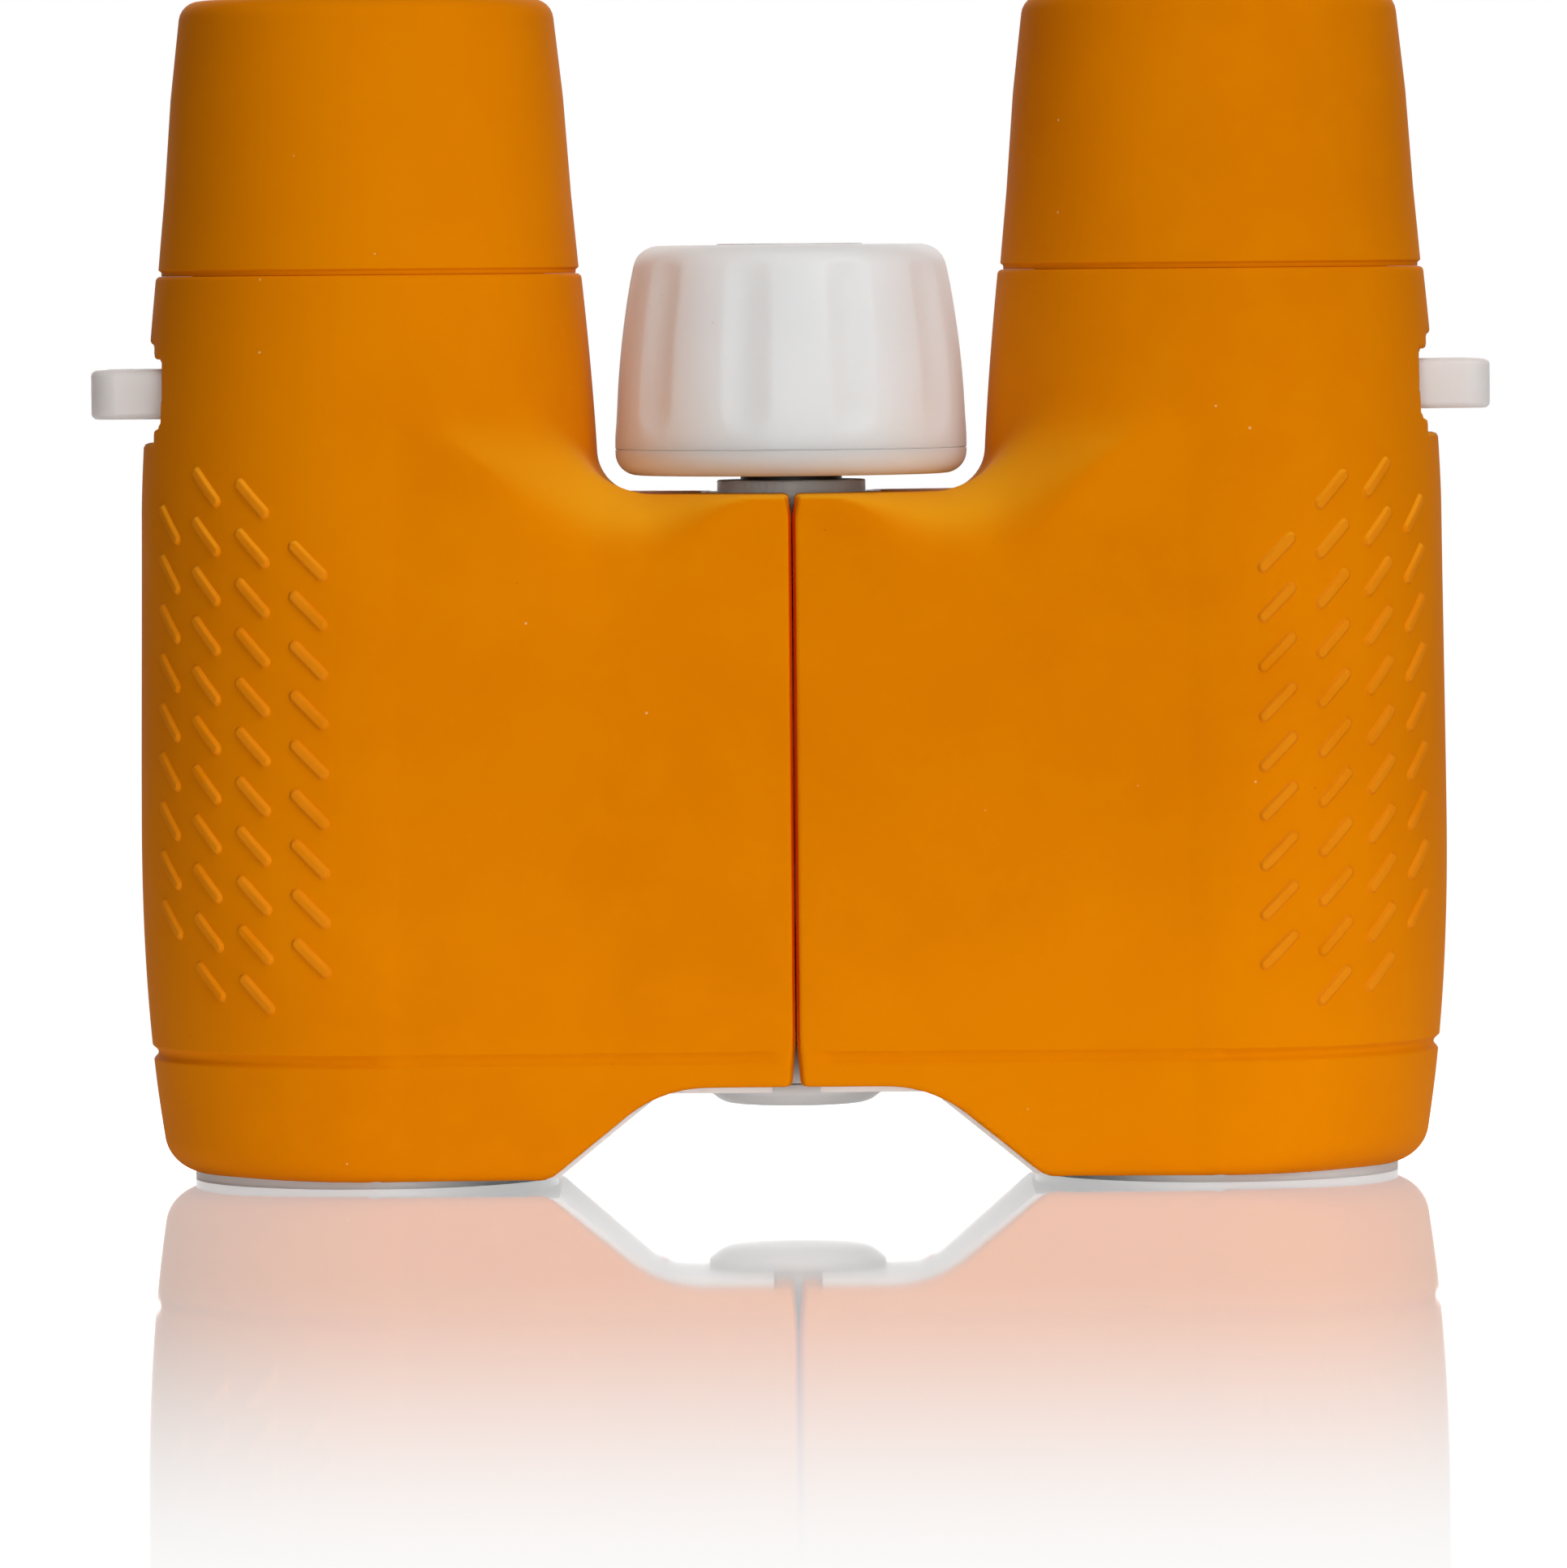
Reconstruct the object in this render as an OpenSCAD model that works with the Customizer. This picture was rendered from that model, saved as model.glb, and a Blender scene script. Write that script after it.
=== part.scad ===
// Toy binoculars: two roof-prism barrels on a centre hinge, focused by a wheel on the hinge axis.
// Millimetres. Z = 0 is the surface the objective ends stand on and +Z runs up to the eyecups.
// The Z axis is the hinge axis and -Y is the face with the seam. Left is -X, seen from -Y.
// Each half is drawn at +X and mirrored for the left.

/* [Body] */
// Distance between the barrel axes with the halves laid flat
barrel_spacing = 68; // [67:0.5:72]
// Armour diameter at its widest
barrel_d = 37; // [36.5:0.25:38]
// Draw-in of the armour at the feet on each side, before the edge is rounded
foot_in = 2.2; // [1.9:0.1:2.6]
// Draw-in of the armour at its top edge on each side, under the eyecup
collar_in = 1.3; // [0.9:0.05:1.6]
// Height of the armour's top edge
body_h = 72.6; // [72:0.2:75]
// Height where the foot's swell reaches the full diameter
swell_h = 30; // [26:1:40]
// Height where the barrel starts to narrow toward the eyecup
narrow_h = 54; // [45:1:54]
// Height of the bridge's top face
bridge_h = 55.2; // [54.5:0.1:57]
// Height of the arch under the bridge
arch_h = 7.5; // [6.8:0.1:8]
// Half width of the arch's level part
arch_half_w = 10.8; // [10:0.1:12]
// Distance of the arch's outer ends from the hinge axis
arch_foot_x = 20; // [19.3:0.1:20.8]
// Turn of the seam face back from the barrel fronts, degrees
front_slant = 1.7; // [1:0.1:3]
// Radius of the fillet between neck and bridge
neck_fillet = 3.3; // [2:0.1:3.6]
// Gap between the two halves along the seam
seam_gap = 0.5; // [0.4:0.05:0.8]
// Thickness of the armour over the bridge
bridge_wall = 1.6; // [1.4:0.1:2]
// Width of the groove near the feet
groove_w = 0.8; // [0.5:0.1:1.2]
// Depth of the groove near the feet
groove_depth = 0.4; // [0.3:0.05:0.7]
// Height of the groove near the feet
groove_h = 9.3; // [8.5:0.1:11]

/* [Chassis] */
// Thickness of the armour round the chassis tube
armour_t = 2.7; // [2.5:0.1:2.9]
// Step in from the chassis tube to its rim that shows at the feet
rim_step = 1.1; // [1:0.05:1.3]
// Wall of the chassis tube
tube_wall = 2.2; // [2:0.1:2.4]
// Wall of the hollow bridge
chassis_wall = 1.8; // [1.4:0.1:2.2]

/* [Strap lugs] */
// Reach of each lug beyond the armour at its widest
lug_out = 4.5; // [4.3:0.1:5.5]
// Width of each lug across the body
lug_w = 10.6; // [9.5:0.1:12]
// Height of each lug's band
lug_h = 4; // [3:0.1:5]
// Thickness of each lug's band
lug_band = 1.2; // [1:0.1:1.4]
// Distance of the middle of the lugs below the armour's top edge
lug_drop = 9.1; // [7.6:0.1:9.6]

/* [Objectives] */
// Wall of the objective tubes
objective_wall = 1.9; // [1.65:0.05:2.4]
// Step out from the chassis bore to the recess in front of the objective tubes
recess_step = 0.2; // [0.1:0.05:0.3]
// Depth of the recess in front of the objective tubes
recess_h = 4.5; // [3.5:0.1:5]
// Thickness of the objective lenses on the axis
objective_t = 4.2; // [4:0.1:5]

/* [Prisms] */
// Width of the prisms as a share of the chassis bore
prism_w_share = 0.55; // [0.51:0.01:0.58]
// Height of the prism pair as a share of the body's height
prism_h_share = 0.24; // [0.22:0.005:0.25]
// Clear diameter through the prism cage as a share of the chassis bore
prism_port_share = 0.44; // [0.36:0.01:0.48]

/* [Eyepieces] */
// Height of the eyecups
eyecup_h = 22.2; // [21:0.2:24]
// Draw-in of the eyecups from base to rim on each side, before the edge is rounded
eyecup_taper = 1.85; // [1.4:0.05:2.2]
// Step in from the armour's top edge to the eyecups' base
eyecup_step = 0.25; // [0.15:0.05:0.7]
// Wall of the eyecups at the rim
eyecup_wall = 2.9; // [2.6:0.05:3.3]
// Depth of the eyecups over the eye lenses' sleeves
eyecup_depth = 7.6; // [6.5:0.1:8.5]
// Step in from the chassis bore to the ocular tubes
ocular_step = 1.1; // [0.9:0.05:1.3]
// Wall of the ocular tubes round the field lenses
field_wall = 1.8; // [1.7:0.05:2.25]
// Wall of the ocular tubes round the eye lenses
eye_wall = 2.8; // [2.5:0.05:3.25]
// Travel of the left eyepiece each way for the diopter setting
diopter_travel = 1; // [0.5:0.1:1.2]

/* [Hinge and focus] */
// Diameter of the hinge knuckles
knuckle_d = 14.6; // [14.2:0.1:15]
// Diameter of the hollow hinge axle
axle_d = 7; // [6.8:0.1:7.2]
// Bore diameter of the hinge axle
axle_bore_d = 5; // [4.8:0.1:5.2]
// Diameter of the focus spindle
spindle_d = 3; // [2.8:0.1:3.2]
// Travel of the focusing cells each way
focus_travel = 2; // [1.5:0.1:2.5]
// Place of the focusing arms as a share of the way from objective to prism cage
arm_share = 0.69; // [0.67:0.01:0.71]
// Thickness of the focusing arms
arm_t = 2; // [1.6:0.1:2.4]

/* [Focus knob] */
// Space between the knob and each barrel
knob_gap = 1.3; // [1:0.1:2.5]
// Height of the knob above its parting line
knob_h = 16.4; // [14:0.1:18]
// Height of the knob's base below its parting line
knob_base_h = 2.1; // [1.9:0.1:3]
// Number of flutes round the knob
flute_count = 10; // [6:1:12]
// Width of one flute
flute_w = 3.9; // [3:0.1:4.4]
// Depth of one flute
flute_depth = 0.55; // [0.3:0.05:0.7]

/* [Hidden] */
$fn = 48;
// Overrun of every cut past the face it opens
over = 1;
// Radial fit of pieces that are fixed in one another
fit = 0.1;
// Radial fit of pieces that slide or turn in one another
run_fit = 0.06;
// Axial gap between pieces that turn past one another
face_gap = 0.3;
// Steps of each swept curve
curve_steps = 8;
// Power of the foot's swell and of the collar's narrowing
swell_power = 2.5;
narrow_power = 1.5;
// Power of the hinge cap's dome
cap_power = 3;

barrel_x = barrel_spacing / 2;
belly_r = barrel_d / 2;
foot_r = belly_r - foot_in;
collar_r = belly_r - collar_in;
chassis_r = belly_r - armour_t;
rim_r = chassis_r - rim_step;
bore_r = chassis_r - tube_wall;
knuckle_r = knuckle_d / 2;
axle_r = axle_d / 2;
spindle_r = spindle_d / 2;

// Armour
lip_h = 0.8;
foot_round = 1.3;
collar_round = 0.8;
arch_lip = 0.35;
front_drop = 0.3;

// Chassis
rim_h = 5;
front_inset = 0.6;
chassis_front = chassis_r - front_inset;
back_root_in = 10;
back_root_drop = 2.9;
back_root = [barrel_x - back_root_in, foot_r - back_root_drop];
hinge_gap = 0.4;
hinge_clear_r = knuckle_r + hinge_gap;
relief_angle = 43.8;
back_corner_out = 3.1;
back_corner = (knuckle_r + back_corner_out) * [cos(relief_angle), sin(relief_angle)];
web_front = 4.5;
web_back = 3.5;
// Overlap of shapes moulded in one
sink = 1;

// Objective and focusing cell
lens_land = 1;
guide_r = bore_r - fit - objective_wall;
objective_r = guide_r - fit;
objective_clear_r = objective_r - lens_land;
objective_ring_h = 1.4;
objective_sag = 1.2;
objective_seat = objective_sag * pow(objective_clear_r / objective_r, 2) - fit;
objective_z = recess_h + objective_ring_h - objective_seat;
objective_top = objective_z + objective_t;
stop_h = 1.2;
cell_h = 6;
cell_r = guide_r - run_fit;
cell_wall = 2.4;
cell_lip = 0.8;
focus_lens_r = cell_r - cell_wall;
focus_lens_t = 3;
focus_sag = 0.8;
arm_root_angle = 40;
arm_root_x = barrel_x - (cell_r + focus_lens_r) / 2 * cos(arm_root_angle);

// Prism cage under the eyepiece seat
neck_bore_h = 14;
seat_z = body_h - neck_bore_h;
cage_top = seat_z - fit;
clip_plate_t = 0.4;
cage_floor = 1.4;
prism_w = 2 * bore_r * prism_w_share;
prism_h = body_h * prism_h_share;
prism_port_r = bore_r * prism_port_share;
cage_z = cage_top - clip_plate_t - fit - prism_h - cage_floor;
tube_top = cage_z - fit;
arm_z = objective_top + (cage_z - objective_top) * arm_share;
prism_split_share = 0.5;
prism_lean_share = 0.26;
prism_gap = 0.3;

// Hinge, from the bottom: left knuckle, right knuckle, focus drum, right knuckle, left knuckle
spool_h = 8;
// Length of each knuckle as a share of the height left beside the spool's travel
low_knuckle_share = 0.36;
high_knuckle_share = 0.32;
knuckle_rise = 0.2;
washer_t = 0.3;
washer_play = 0.1;
washer_inset = 1;
joint_gap = washer_t + washer_play;
low_left_z = arch_h + knuckle_rise;
low_knuckle_h = (arm_z - spool_h / 2 - focus_travel - low_left_z) * low_knuckle_share;
high_knuckle_h = (bridge_h - arm_z - spool_h / 2 - focus_travel) * high_knuckle_share;
low_right_z = low_left_z + low_knuckle_h + joint_gap;
high_left_z = bridge_h - high_knuckle_h;
high_right_z = high_left_z - joint_gap - high_knuckle_h;
drum_z = low_right_z + low_knuckle_h + face_gap;
drum_top = high_right_z - face_gap;
drum_wall = 0.9;
plate_inset = 1.3;
plate_r = knuckle_r - plate_inset;
plate_h = 0.7;
plate_top = bridge_h + plate_h;
cap_h = 1.2;
cap_spigot_h = 1.6;
cap_wall = 1.4;
clip_room_r = plate_r - cap_wall;
clip_room_h = 3;

// Focus drive
axle_z = low_left_z + clip_room_h;
spool_play = 0.4;
spool_r = knuckle_r - drum_wall - spool_play;
spool_wall = 1.2;
spool_core_r = axle_r + spool_wall;
arm_fit = 0.1;
pin_r = 0.7;
pin_play = 0.25;
pin_in = spindle_r + pin_play;
nut_h = 6;
nut_r = axle_bore_d / 2 - run_fit;
bearing_h = 5;
clip_t = 0.8;
clip_inset = 0.3;
clip_r = axle_r - clip_inset;
slot_clear = 0.4;

// Focusing arms, which reach the spool from the seam side
arm_angle = 60;
arm_w = 3.4;
arm_near = 5.2;
arm_far = 8.2;
arm_tip_play = 0.2;
arm_tip_r = spool_core_r + arm_tip_play;
arm_out = [cos(arm_angle), -sin(arm_angle)];
arm_side = [sin(arm_angle), cos(arm_angle)];
arm_in_a = arm_tip_r * arm_out + arm_w / 2 * arm_side;
arm_in_b = arm_tip_r * arm_out - arm_w / 2 * arm_side;
arm_bend_a = arm_in_a + arm_out * (arm_near + arm_in_a[1]) / sin(arm_angle);
arm_bend_b = arm_in_b + arm_out * (arm_far + arm_in_b[1]) / sin(arm_angle);

// Eyepiece
eyecup_z = body_h + face_gap;
eyecup_top = eyecup_z + eyecup_h;
sleeve_top = eyecup_top - eyecup_depth;
eyecup_skin = 0.9;
eyecup_base_r = collar_r - eyecup_step;
eyecup_rim_r = eyecup_base_r - eyecup_taper;
sleeve_r = eyecup_rim_r - eyecup_skin;
ocular_r = bore_r - ocular_step;
ocular_bore_r = ocular_r + run_fit;
eyecup_groove_h = 0.5;
eyecup_groove = 0.4;
rim_round = 1.6;
ring_flange_h = 0.6;
ocular_clear = 1;
ocular_z = seat_z + diopter_travel + ocular_clear;
ocular_top = sleeve_top - fit - face_gap - diopter_travel - ring_flange_h;
lens_sag = 1.1;
field_lens_r = ocular_r - field_wall;
field_lens_t = 3.6;
field_lens_inset = 1.8;
field_lens_z = ocular_z + field_lens_inset;
field_seat = lens_sag * pow((field_lens_r - lens_land) / field_lens_r, 2) - fit;
field_stop_h = 1.4;
eye_lens_r = ocular_r - eye_wall;
eye_lens_t = 4.4;
eye_ring_h = 1.8;
eye_seat = lens_sag * pow((eye_lens_r - lens_land) / eye_lens_r, 2) - fit;
eye_lens_z = ocular_top - eye_ring_h + eye_seat - eye_lens_t;

// Strap lug
lug_root_depth = 1.2;
lug_root = chassis_r - lug_root_depth;
lug_reach = belly_r + lug_out;
lug_z = body_h - lug_drop;
lug_corner = 2.6;
lug_step_depth = 0.6;
lug_step_margin_h = 3.9;
lug_step_margin_w = 6;
lug_pocket_depth = 1.2;
lug_pocket_margin_h = 1.8;
lug_pocket_margin_w = 3.4;

// Focus knob
knob_r = barrel_x - belly_r - knob_gap;
collar_play = 0.05;
knob_collar_r = 4.1;
knob_collar_h = 0.65;
knob_z = plate_top + collar_play + knob_collar_h;
knob_split = knob_z + knob_base_h;
knob_top = knob_split + knob_h;
knob_taper = 1.2;
knob_round = 2.3;
knob_base_round = 1.8;
knob_wall = 2.4;
knob_boss_wall = 2.4;
knob_boss_r = spindle_r + knob_boss_wall;
knob_cap_r = 6;
knob_cap_t = 1.2;
knob_web = 1;
knob_screw_r = 1.1;
knob_screw_head_r = 2.3;
knob_screw_head_h = 1.3;
knob_screw_len = 7;
spindle_top = knob_top - knob_cap_t - knob_screw_head_h - knob_web;
flute_r = (pow(flute_w / 2, 2) + pow(flute_depth, 2)) / (2 * flute_depth);
flute_start = 1.4;
flute_low = knob_split + flute_start;
flute_phase = -15;
flute_lean = 3.2;

orange = [0.85, 0.45, 0.02];
white = [0.88, 0.87, 0.85];
black = [0.07, 0.07, 0.07];
steel = [0.62, 0.63, 0.65];
brass = [0.72, 0.56, 0.25];
glass = [0.70, 0.82, 0.86];

// Armour radius at height z
function barrel_r(z) =
    z < swell_h ? foot_r + (belly_r - foot_r) * (1 - pow(1 - z / swell_h, swell_power))
    : z > narrow_h ? collar_r + (belly_r - collar_r)
        * (1 - pow((z - narrow_h) / (body_h - narrow_h), narrow_power))
    : belly_r;

// Heights at which the armour's curve is drawn between two heights
function curve_heights(z0, z1) = concat(
    [for (i = [0 : curve_steps]) z0 + (swell_h - z0) * i / curve_steps],
    [for (i = [0 : curve_steps]) narrow_h + (z1 - narrow_h) * i / curve_steps]);

// Heights at which the bridge's front is drawn, each between two of the barrel's
function front_heights(z0, z1) = concat(
    [z0],
    [for (i = [0 : curve_steps - 1]) z0 + (swell_h - z0) * (2 * i + 1) / (2 * curve_steps)],
    [for (i = [0 : curve_steps - 1]) narrow_h + (z1 - narrow_h) * (2 * i + 1) / (2 * curve_steps)],
    [z1]);

function arc(cx, cy, r, a0, a1) = [for (i = [0 : curve_steps])
    let (a = a0 + (a1 - a0) * i / curve_steps) [cx + r * cos(a), cy + r * sin(a)]];

module ring(r_out, r_in, h) {
    difference() {
        cylinder(r = r_out, h = h);
        translate([0, 0, -over]) cylinder(r = r_in, h = h + 2 * over);
    }
}

// Lens of thickness t on the axis; both faces bulge by sag, or are hollow where sag is below zero
module lens(r, t, sag) {
    low = [for (i = [0 : curve_steps]) r * [i / curve_steps, 0] + sag * [0, pow(i / curve_steps, 2)]];
    high = [for (i = [curve_steps : -1 : 0]) [low[i][0], t - low[i][1]]];
    rotate_extrude() polygon(concat(low, high));
}

module at_barrel() {
    translate([barrel_x, 0, 0]) children();
}

module mirrored() {
    mirror([1, 0, 0]) children();
}

// Plan of the bridge from the seam to inside the barrel, with its walls drawn in by inset
module bridge_plan(inset, front) {
    polygon([
        [seam_gap / 2 + inset, -front],
        [barrel_x, -front],
        [barrel_x, back_root[1] - inset],
        [back_root[0] + inset, back_root[1] - inset],
        [back_corner[0] + inset, back_corner[1] - inset],
        [seam_gap / 2 + inset, 0]]);
}

// Space under the arch, raised by lift
module arch_cut(lift) {
    rotate([90, 0, 0])
        translate([0, 0, -barrel_d])
            linear_extrude(2 * barrel_d)
                polygon([
                    [-over, -over], [arch_foot_x, -over], [arch_foot_x, lift],
                    [arch_half_w, arch_h + lift], [-over, arch_h + lift]]);
}

// Solid under the curve of the barrels' fronts, swept across the bridge
module front_sweep() {
    fronts = [for (z = front_heights(lip_h, bridge_h + over)) [front_drop - barrel_r(z), z]];
    at_barrel()
        rotate([0, 0, -front_slant])
            rotate([90, 0, 90])
                translate([0, 0, -barrel_x - over])
                    linear_extrude(barrel_x + over)
                        polygon(concat([[belly_r, lip_h]], fronts, [[belly_r, bridge_h + over]]));
}

// Groove near the feet, across the front of the bridge
module front_groove() {
    skin_r = barrel_r(groove_h);
    barrel_run = sqrt(2 * skin_r * front_drop);
    at_barrel()
        rotate([0, 0, -front_slant])
            translate([-barrel_x - over, -skin_r - over, groove_h - groove_w / 2])
                cube([barrel_x + over - barrel_run, over + front_drop + groove_depth, groove_w]);
}

module hinge_cut() {
    translate([0, 0, -over]) cylinder(r = hinge_clear_r, h = body_h);
}

// Window for a focusing arm and its travel
module arm_slot() {
    half_h = arm_t / 2 + focus_travel + slot_clear;
    translate([0, -arm_far - slot_clear, arm_z - half_h])
        cube([arm_root_x, arm_far - arm_near + 2 * slot_clear, 2 * half_h]);
}

module lug_plan() {
    half_w = lug_w / 2;
    translate([lug_root, -half_w]) square([lug_reach - lug_corner - lug_root, lug_w]);
    translate([lug_root, lug_corner - half_w]) square([lug_reach - lug_root, lug_w - 2 * lug_corner]);
    for (s = [-1, 1])
        translate([lug_reach - lug_corner, s * (half_w - lug_corner)]) circle(r = lug_corner);
}

module lug_hole() {
    inner = lug_reach - lug_band;
    half_w = lug_w / 2 - lug_band;
    corner = lug_corner - lug_band;
    from = lug_root + lug_band;
    translate([from, -half_w]) square([inner - corner - from, 2 * half_w]);
    translate([from, corner - half_w]) square([inner - from, 2 * (half_w - corner)]);
    for (s = [-1, 1])
        translate([inner - corner, s * (half_w - corner)]) circle(r = corner);
}

module lug_box(depth_from, w, h) {
    translate([depth_from, -w / 2, lug_z - h / 2]) cube([lug_reach, w, h]);
}

module armour() {
    outline = concat(
        [[0, lip_h]],
        arc(barrel_r(lip_h + foot_round) - foot_round, lip_h + foot_round, foot_round, -90, 0),
        [for (z = curve_heights(lip_h + foot_round, body_h - collar_round)) [barrel_r(z), z]],
        arc(barrel_r(body_h - collar_round) - collar_round, body_h - collar_round, collar_round, 0, 90),
        [[0, body_h]]);
    neck_r = barrel_r(bridge_h + neck_fillet);
    skin_r = barrel_r(lug_z);
    difference() {
        union() {
            at_barrel() rotate_extrude() polygon(outline);
            difference() {
                intersection() {
                    translate([0, 0, lip_h]) linear_extrude(bridge_h - lip_h) bridge_plan(0, barrel_d);
                    front_sweep();
                }
                arch_cut(arch_lip);
            }
            intersection() {
                at_barrel()
                    rotate_extrude()
                        polygon(concat(
                            [[rim_r, bridge_h - over], [neck_r + neck_fillet, bridge_h - over]],
                            arc(neck_r + neck_fillet, bridge_h + neck_fillet, neck_fillet, -90, -180),
                            [[rim_r, bridge_h + neck_fillet]]));
                translate([0, 0, bridge_h - over])
                    linear_extrude(neck_fillet + over)
                        bridge_plan(0, belly_r - front_drop - barrel_x * tan(front_slant));
            }
        }
        hinge_cut();
        front_groove();
        at_barrel() {
            translate([0, 0, -over]) cylinder(r = rim_r + fit, h = rim_h + 2 * over);
            translate([0, 0, rim_h - fit]) cylinder(r = chassis_r + fit, h = body_h);
            translate([0, 0, groove_h - groove_w / 2])
                ring(belly_r, barrel_r(groove_h) - groove_depth, groove_w);
            lug_box(skin_r - lug_step_depth, lug_w + lug_step_margin_w, lug_h + lug_step_margin_h);
            lug_box(skin_r - lug_pocket_depth, lug_w + lug_pocket_margin_w, lug_h + lug_pocket_margin_h);
            lug_box(0, lug_w + 2 * fit, lug_h + 2 * fit);
        }
        translate([0, 0, -over])
            linear_extrude(bridge_h - bridge_wall + over)
                bridge_plan(bridge_wall, chassis_front + fit);
    }
}

// Chassis moulding without its hinge knuckles
module chassis_shell() {
    pocket_from = hinge_clear_r + chassis_wall;
    pocket_to = barrel_x - bore_r - chassis_wall;
    pocket_z = arch_h + chassis_wall;
    difference() {
        union() {
            at_barrel() {
                cylinder(r = rim_r, h = rim_h);
                translate([0, 0, rim_h]) cylinder(r = chassis_r, h = body_h - rim_h);
            }
            difference() {
                translate([0, 0, lip_h])
                    linear_extrude(bridge_h - bridge_wall - fit - lip_h)
                        bridge_plan(bridge_wall + fit, chassis_front);
                arch_cut(0);
            }
        }
        hinge_cut();
        at_barrel() {
            translate([0, 0, -over]) cylinder(r = bore_r + recess_step, h = recess_h + over);
            cylinder(r = bore_r, h = seat_z);
            cylinder(r = ocular_bore_r, h = body_h + over);
            lug_box(lug_root - fit, lug_w + 2 * fit, lug_h + 2 * fit);
        }
        intersection() {
            translate([0, 0, pocket_z])
                linear_extrude(bridge_h - bridge_wall - chassis_wall - pocket_z)
                    bridge_plan(bridge_wall + chassis_wall, chassis_front - chassis_wall);
            translate([pocket_from, -barrel_d, 0]) cube([pocket_to - pocket_from, 2 * barrel_d, body_h]);
        }
        arm_slot();
    }
}

// Knuckle from z to z + h with the web of height web_h that joins it to the chassis
module knuckle(z, h, web_h, bore) {
    translate([0, 0, z])
        difference() {
            union() {
                cylinder(r = knuckle_r, h = h);
                translate([0, -web_front, 0]) cube([hinge_clear_r + sink, web_front + web_back, web_h]);
            }
            translate([0, 0, -over]) cylinder(r = bore, h = h + 2 * over);
        }
}

// Wall behind the focus spool, on the left chassis only
module drum_wall_shell() {
    span = 2 * knuckle_r;
    translate([0, 0, drum_z])
        intersection() {
            union() {
                ring(knuckle_r, knuckle_r - drum_wall, drum_top - drum_z);
                translate([knuckle_r - drum_wall / 2, 0, 0])
                    cube([hinge_gap + sink, web_back, drum_top - drum_z]);
            }
            linear_extrude(drum_top - drum_z)
                polygon([[0, 0], [span, 0], [span, span], [-span, span]]);
        }
}

module left_chassis() {
    color(white)
        mirrored()
            difference() {
                union() {
                    chassis_shell();
                    knuckle(low_left_z, low_knuckle_h, low_knuckle_h, axle_r + fit / 2);
                    knuckle(
                        high_left_z, high_knuckle_h, high_knuckle_h - bridge_wall - fit,
                        axle_r + fit / 2);
                    translate([0, 0, bridge_h - fit]) ring(plate_r, axle_r + fit / 2, plate_h + fit);
                    drum_wall_shell();
                }
                translate([0, 0, low_left_z - over])
                    cylinder(r = clip_room_r, h = clip_room_h + over);
            }
}

module right_chassis() {
    color(white)
        union() {
            chassis_shell();
            knuckle(low_right_z, low_knuckle_h, low_knuckle_h, axle_r + run_fit);
            knuckle(high_right_z, high_knuckle_h, high_knuckle_h, axle_r + run_fit);
        }
}

module left_armour() {
    color(orange) mirrored() armour();
}

module right_armour() {
    color(orange) armour();
}

module strap_lug() {
    color(white)
        at_barrel()
            translate([0, 0, lug_z - lug_h / 2])
                linear_extrude(lug_h)
                    difference() {
                        lug_plan();
                        lug_hole();
                    }
}

module left_strap_lug() {
    mirrored() strap_lug();
}

module right_strap_lug() {
    strap_lug();
}

module objective_tube() {
    color(black)
        difference() {
            at_barrel()
                difference() {
                    translate([0, 0, recess_h]) cylinder(r = bore_r - fit, h = tube_top - recess_h);
                    translate([0, 0, recess_h - over])
                        cylinder(r = guide_r, h = objective_top - objective_seat - recess_h + over);
                    cylinder(r = objective_clear_r, h = tube_top);
                    translate([0, 0, objective_top - objective_seat + stop_h])
                        cylinder(r = guide_r, h = tube_top);
                }
            arm_slot();
        }
}

module left_objective_tube() {
    mirrored() objective_tube();
}

module right_objective_tube() {
    objective_tube();
}

module objective_lens() {
    color(glass)
        at_barrel() translate([0, 0, objective_z]) lens(objective_r, objective_t, objective_sag);
}

module left_objective_lens() {
    mirrored() objective_lens();
}

module right_objective_lens() {
    objective_lens();
}

module objective_ring() {
    color(black)
        at_barrel()
            translate([0, 0, recess_h]) ring(objective_r, objective_clear_r, objective_ring_h);
}

module left_objective_ring() {
    mirrored() objective_ring();
}

module right_objective_ring() {
    objective_ring();
}

// Sliding ring with the bent arm that ends in the spool's groove
module focus_cell() {
    color(black)
        difference() {
            union() {
                at_barrel() translate([0, 0, arm_z - cell_h / 2]) cylinder(r = cell_r, h = cell_h);
                translate([0, 0, arm_z - arm_t / 2])
                    linear_extrude(arm_t)
                        polygon([
                            arm_in_a, arm_in_b, arm_bend_b,
                            [arm_root_x, -arm_far], [arm_root_x, -arm_near], arm_bend_a]);
            }
            at_barrel() {
                translate([0, 0, arm_z - cell_h])
                    cylinder(r = focus_lens_r - cell_lip, h = 2 * cell_h);
                translate([0, 0, arm_z - cell_h / 2 - over])
                    cylinder(r = focus_lens_r, h = focus_lens_t + cell_lip + over);
            }
        }
}

module left_focus_cell() {
    mirrored() focus_cell();
}

module right_focus_cell() {
    focus_cell();
}

module focus_lens() {
    color(glass)
        at_barrel()
            translate([0, 0, arm_z - cell_h / 2 + cell_lip + focus_sag])
                lens(focus_lens_r - fit / 2, focus_lens_t - 2 * focus_sag, -focus_sag);
}

module left_focus_lens() {
    mirrored() focus_lens();
}

module right_focus_lens() {
    focus_lens();
}

module prism_cage() {
    side = prism_w + 2 * fit;
    color(black)
        at_barrel()
            translate([0, 0, cage_z])
                difference() {
                    cylinder(r = bore_r - fit, h = cage_top - cage_z);
                    translate([0, 0, -over]) cylinder(r = prism_port_r, h = cage_top);
                    translate([-side / 2, -side / 2, cage_floor]) cube([side, side, cage_top]);
                }
}

module left_prism_cage() {
    mirrored() prism_cage();
}

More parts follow.
